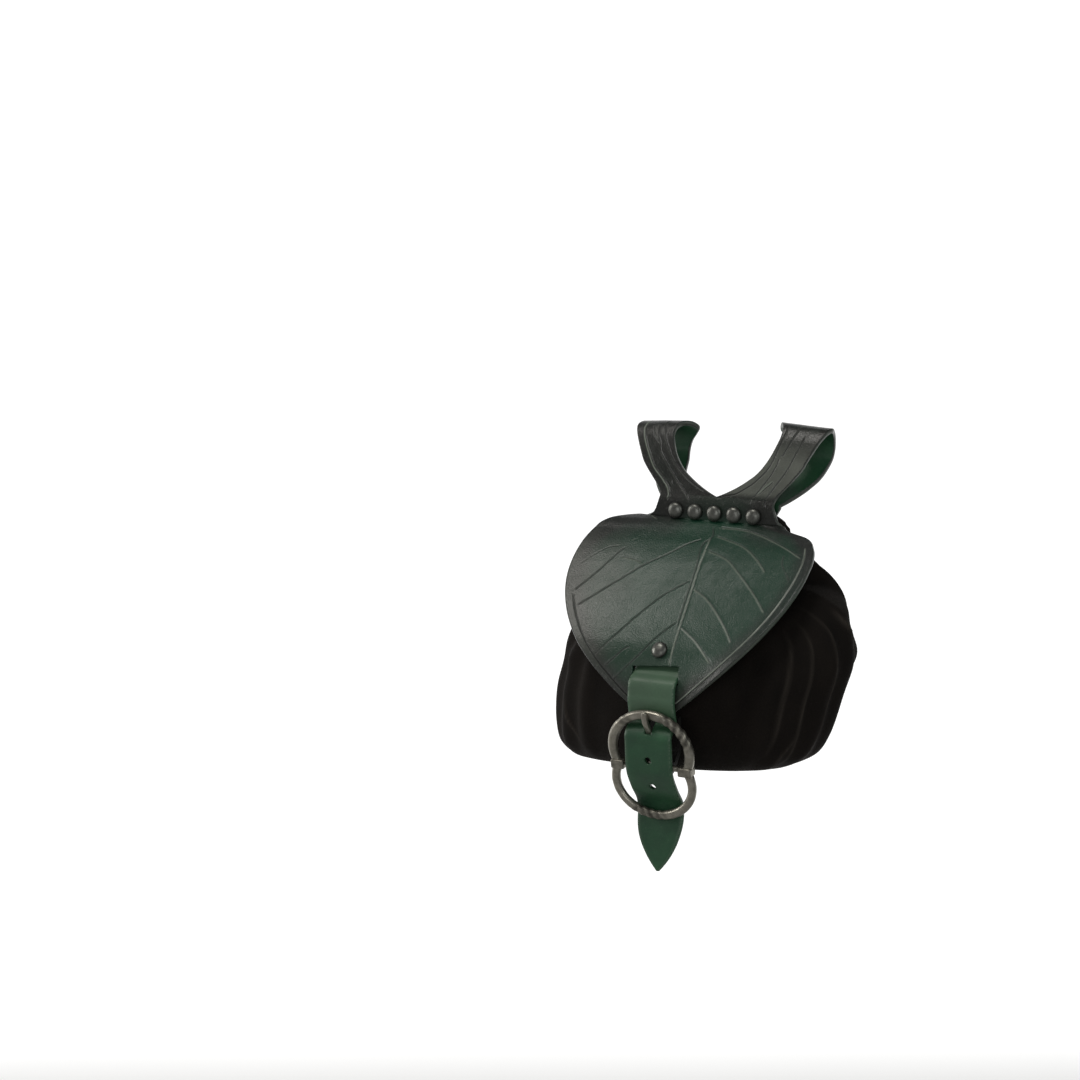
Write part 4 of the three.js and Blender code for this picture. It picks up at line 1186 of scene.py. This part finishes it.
# Prong: a ring round the bar and an arm through the strap and over the upper rim
prong = {"width": 3.4, "thick": 2.4, "loop": 1.5, "square": 0.55, "sides": 20}
loopRadius = buckle["bar"] / 2 + shared["clearance"]
rimFront = buckle["rimThick"] / 2 + buckle["barBack"] + shared["clearance"] + prong["thick"] / 2
prongRows = table("out up", [
    (0.05, (loopRadius + prong["loop"] / 2) / buckle["upper"]),
    (0.1, 0.26),
    (0.16, 0.44),
    (0.22, 0.57),
    (0.45, 0.68),
    (0.82, 0.79),
    (1, 0.9),
    (1, 1.02),
])


def prongPiece():
    outs, ups = (np.array([row[key] for row in prongRows]) for key in ("out", "up"))
    keys = np.stack([outs * rimFront - buckle["barBack"], ups * buckle["upper"]], axis=1)
    route = evenPath(keys, 0.4)
    heading = unit(np.gradient(route, axis=0))
    angles = np.arange(prong["sides"]) / prong["sides"] * 2 * math.pi
    wide = squared(np.cos(angles), prong["square"]) * prong["width"] / 2
    deep = squared(np.sin(angles), prong["square"]) * prong["thick"] / 2
    place = np.linspace(0, 1, len(route))
    slim = 1 - 0.16 * softStep(0.5, 1.0, place)
    ends = np.sqrt(np.clip(1 - softStep(0.965, 1.0, place) ** 2 * 0.9, 0.05, 1))
    x = wide[None, :] * (slim * ends)[:, None]
    away = deep[None, :] * ends[:, None]
    out = route[:, 0][:, None] + heading[:, 1][:, None] * away
    up = route[:, 1][:, None] - heading[:, 0][:, None] * away
    body = onFrame(x, out, up)
    maker = MeshMaker()
    maker.grid(body, ring=True, flip=True)
    for end in (body[-1], body[0]):
        maker.fan(end, end.mean(axis=0))
    turns = np.linspace(0, 2 * math.pi, 41)[:, None]
    radius = loopRadius + np.array([0, 0, 1, 1]) * prong["loop"]
    widths = np.array([-1, 1, 1, -1]) * prong["width"] / 2
    eye = onFrame(widths, radius * np.cos(turns) - buckle["barBack"], radius * np.sin(turns))
    maker.grid(eye, ring=True)
    settle(maker.piece("cast_prong", outward=True), pewterMetal, "buckle_prong")


prongPiece()
print("stage: buckle and prong")


# Closing strap
strap = {
    "width": 26.5,
    "endDrop": 54,
    "slitEase": 4,
    "tip": 34,
    "tail": 51.2,
    "hole": 3.8,
    "firstHole": 5.2,
    "holePitch": 15.5,
    "columns": 31,
    "step": 0.5,
}
strapEdge = {
    "round": 0.4,
    "back": shared["strapThick"] / 2,
    "light": 0.6,
    "angles": (90, 60, 30, 0, -30, -60, -90),
}
tipRows = table("along width", [
    (0, 1),
    (0.3, 0.96),
    (0.55, 0.79),
    (0.78, 0.48),
    (0.93, 0.19),
    (1, 0.03),
])


# Key points of the strap's middle, from its end behind the leaf to its tip
def strapRoute():
    thick = shared["strapThick"]
    gap = shared["clearance"]
    behindLeaf = shared["leather"] / 2 + gap + thick / 2
    beforeLeaf = -behindLeaf - 2 * gap - leaf["dish"] * (strap["width"] / (2 * leaf["half"])) ** 2
    behindRim = -(buckle["rimThick"] / 2 + 3 * gap + thick / 2)
    overBar = -buckle["barBack"] + buckle["bar"] / 2 + gap + prong["loop"] + gap + thick / 2
    overProng = prong["thick"] / 2 + gap + thick / 2 - 0.2
    slit = leaf["slitDrop"]
    onLeaf = [
        (strap["endDrop"], behindLeaf),
        (shared["flapRivetDrop"], behindLeaf),
        (slit - strap["slitEase"], behindLeaf * 0.94),
        (slit, 0),
        (slit + strap["slitEase"], beforeLeaf * 0.97),
        (slit + (leaf["length"] - slit) * 0.45, beforeLeaf),
    ]
    upper, lower = buckle["upper"], buckle["lower"]
    onBuckle = [
        (upper * 1.1, behindRim),
        (upper * 0.9, behindRim),
        (upper * 0.735, behindRim),
        (upper * 0.65, overProng + (behindRim - overProng) * 0.46),
        (upper * 0.56, overProng * 0.8),
        (upper * 0.42, overProng),
        (upper * 0.12, overBar),
        (-lower * 0.08, overBar),
        (-lower * 0.42, overBar + (behindRim - overBar) * 0.46),
        (-lower * 0.71, behindRim),
    ]
    keys = []
    for drop, away in onLeaf:
        axes, place = leafFrame(drop / leaf["length"])
        keys.append(place + axes @ np.array([0, away, 0]))
    keys += [onFrame(0, out, up) for up, out in onBuckle]
    top = onFrame(0, behindRim, buckle["rimWidth"] / 2 - lower)
    for drop, forward in ((0.0, 0.0), (0.25, 0.04), (0.6, 0.055)):
        keys.append(top + np.array([0, -forward, -drop]) * strap["tail"])
    return keys


def strapPiece():
    middle = evenPath(strapRoute(), strap["step"])
    count = len(middle)
    left = (count - 1 - np.arange(count)) * strap["step"]
    along = np.clip(1 - left / strap["tip"], 0, 1)
    width = lookUp(tipRows, "along", "width", along) * (strap["width"] - 2 * strapEdge["round"])
    shares = np.linspace(-0.5, 0.5, strap["columns"])
    grid = np.repeat(middle[:, None, :], len(shares), axis=1)
    grid[..., 0] = shares[None, :] * width[:, None]
    inset = (0.5 - np.abs(shares))[None, :] * width[:, None]
    normals = -gridNormals(grid)
    thick = shared["strapThick"]
    walk = np.linspace(0, 1, count)
    ease = 0.25 * np.exp(-((inset / 0.9) ** 2))
    uneven = waves(grid, 15, 31) * 0.1
    front = grid - normals * (-thick / 2 + ease - uneven)[..., None]
    back = grid - normals * (thick / 2)
    maker = MeshMaker()
    # Lighter along the long edges, and a painted sheen on the part between the slit and the buckle's upper
    # rim
    wearAndHighlight = softStep(0.1, 0.14, walk) * softStep(0.42, 0.3, walk)
    light = np.exp(-((inset / 0.7) ** 2)) + 1.1 * wearAndHighlight[:, None]
    maker.grid(front, flip=True, marks={"light": light * 0.8})
    maker.grid(back)
    for at, inner in ((-1, -2), (0, 1)):
        lift = thick / 2 - ease[:, at] + uneven[:, at]
        roundEdge(maker, strapEdge, grid[:, at], grid[:, inner], normals[:, at], lift, at == 0)
    for row in (0, -1):
        maker.grid(np.stack([front[row], back[row]]), flip=row == -1)
    piece = maker.piece("green_strap", outward=True)
    tools = []
    for up in (strap["firstHole"], strap["firstHole"] - strap["holePitch"]):
        matrix = toMatrix(frameAxes, onFrame(0, 0, up)) @ Matrix.Rotation(math.pi / 2, 4, "X")
        tools.append(holeTool(strap["hole"] / 2, cutThrough, matrix))
    spot = onFrame(0, 0.6, buckle["upper"] * 0.69)
    prongHole = (prong["width"] + 2 * shared["clearance"], 14, 5.6)
    tools.append(boxTool(prongHole, toMatrix(frameAxes, spot)))
    cutWith(piece, tools)
    settle(piece, strapLeather, "closing_strap")


strapPiece()


# The hidden tab keeps its CAD shape, in black leather
def tabMaterial():
    look = Look("black tab leather")
    shade = look.mix(look.noise(9, 3.0), tint(14, 13, 12), tint(24, 23, 21))
    return look.finish(shade, look.cells(0.6), 0.05, {"Roughness": 0.6, "Specular IOR Level": 0.3})


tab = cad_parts["buckle_tab"]
tab.data.materials.clear()
tab.data.materials.append(tabMaterial())
print("stage: strap")


# Floor, light and camera. The camera stands where the photograph was taken from.
viewpoint = {
    "azimuth": 30.49,
    "elevation": 9.3,
    "distance": 1500,
    "right": -91.4,
    "up": -14.04,
    "lens": 96.15,
}
stage = {
    "floor": -430,
    "half": 4000,
    "back": 1700,
    "curve": 700,
    "wall": 2600,
    "litFrom": 60,
    "litEdge": 260,
    "dim": (0.1, 0.1, 0.1, 1),
    "lit": (0.95, 0.95, 0.95, 1),
}


def floorPiece():
    back, floor, curve = stage["back"], stage["floor"], stage["curve"]
    profile = [(-stage["half"], floor)]
    for a in np.linspace(0, math.pi / 2, 16):
        profile.append((back + curve * math.sin(a), floor + curve * (1 - math.cos(a))))
    profile.append((back + curve, floor + stage["wall"]))
    grid = np.array([[(x, y, z) for x in (-stage["half"], stage["half"])] for y, z in profile])
    maker = MeshMaker()
    maker.grid(grid)
    piece = maker.piece("pale_floor")
    look = Look("pale paper")
    shade = look.mix(look.noise(300, 2.0), tint(150, 150, 149), tint(158, 158, 157))
    behind = look.along("Y").between(stage["litFrom"], stage["litFrom"] + stage["litEdge"])
    glow = look.mix(behind, stage["dim"], stage["lit"])
    sockets = {"Roughness": 0.9, "Emission Color": glow, "Emission Strength": 1.0}
    piece.data.materials.append(look.finish(shade, look.noise(2, 2.0), 0.01, sockets))
    piece.rotation_euler = (0, 0, math.radians(viewpoint["azimuth"]))


def sightAxes(azimuth, elevation):
    a, e = math.radians(azimuth), math.radians(elevation)
    back = np.array([math.sin(a) * math.cos(e), -math.cos(a) * math.cos(e), math.sin(e)])
    right = np.array([math.cos(a), math.sin(a), 0])
    up = np.array([-math.sin(a) * math.sin(e), math.cos(a) * math.sin(e), math.cos(e)])
    return np.stack([right, up, back], axis=1)


def addCamera():
    axes = sightAxes(viewpoint["azimuth"], viewpoint["elevation"])
    away = axes @ np.array([viewpoint["right"], viewpoint["up"], viewpoint["distance"]])
    camera = linked("camera", bpy.data.cameras.new("camera"))
    camera.matrix_world = toMatrix(axes, np.array([0, 0, rowZ]) + away)
    camera.data.lens = viewpoint["lens"]
    camera.data.sensor_width = 36
    camera.data.clip_end = 50
    bpy.context.scene.camera = camera


# Soft lights, aimed at the middle of the pouch
lightsAim = np.array([0, -20, -100])
lights = table("name azimuth elevation distance width height watts colour", [
    ("key", -37, 64, 1800, 0.62, 0.62, 10.5, (1, 0.97, 0.92)),
    ("fill", 72, 24, 2000, 1.2, 1.2, 8.5, (0.96, 1, 0.98)),
    ("front", 12, 8, 1900, 1, 1, 5, (1, 1, 1)),
    ("side", -66, 14, 1700, 0.5, 0.8, 9, (1, 0.98, 0.95)),
])


def addLight(row):
    axes = sightAxes(row["azimuth"], row["elevation"])
    light = linked(row["name"], bpy.data.lights.new(row["name"], "AREA"))
    light.matrix_world = toMatrix(axes, lightsAim + axes @ np.array([0, 0, row["distance"]]))
    light.data.shape = "RECTANGLE"
    light.data.size = row["width"]
    light.data.size_y = row["height"]
    light.data.energy = row["watts"]
    light.data.color = row["colour"]


floorPiece()
addCamera()
for row in lights:
    addLight(row)
world = bpy.data.worlds.new("studio")
world.use_nodes = True
background = world.node_tree.nodes["Background"].inputs
background["Color"].default_value = (0.93, 0.94, 0.95, 1)
background["Strength"].default_value = 0.13
bpy.context.scene.world = world
bpy.context.scene.view_settings.view_transform = "Standard"
print("stage: floor, light and camera")
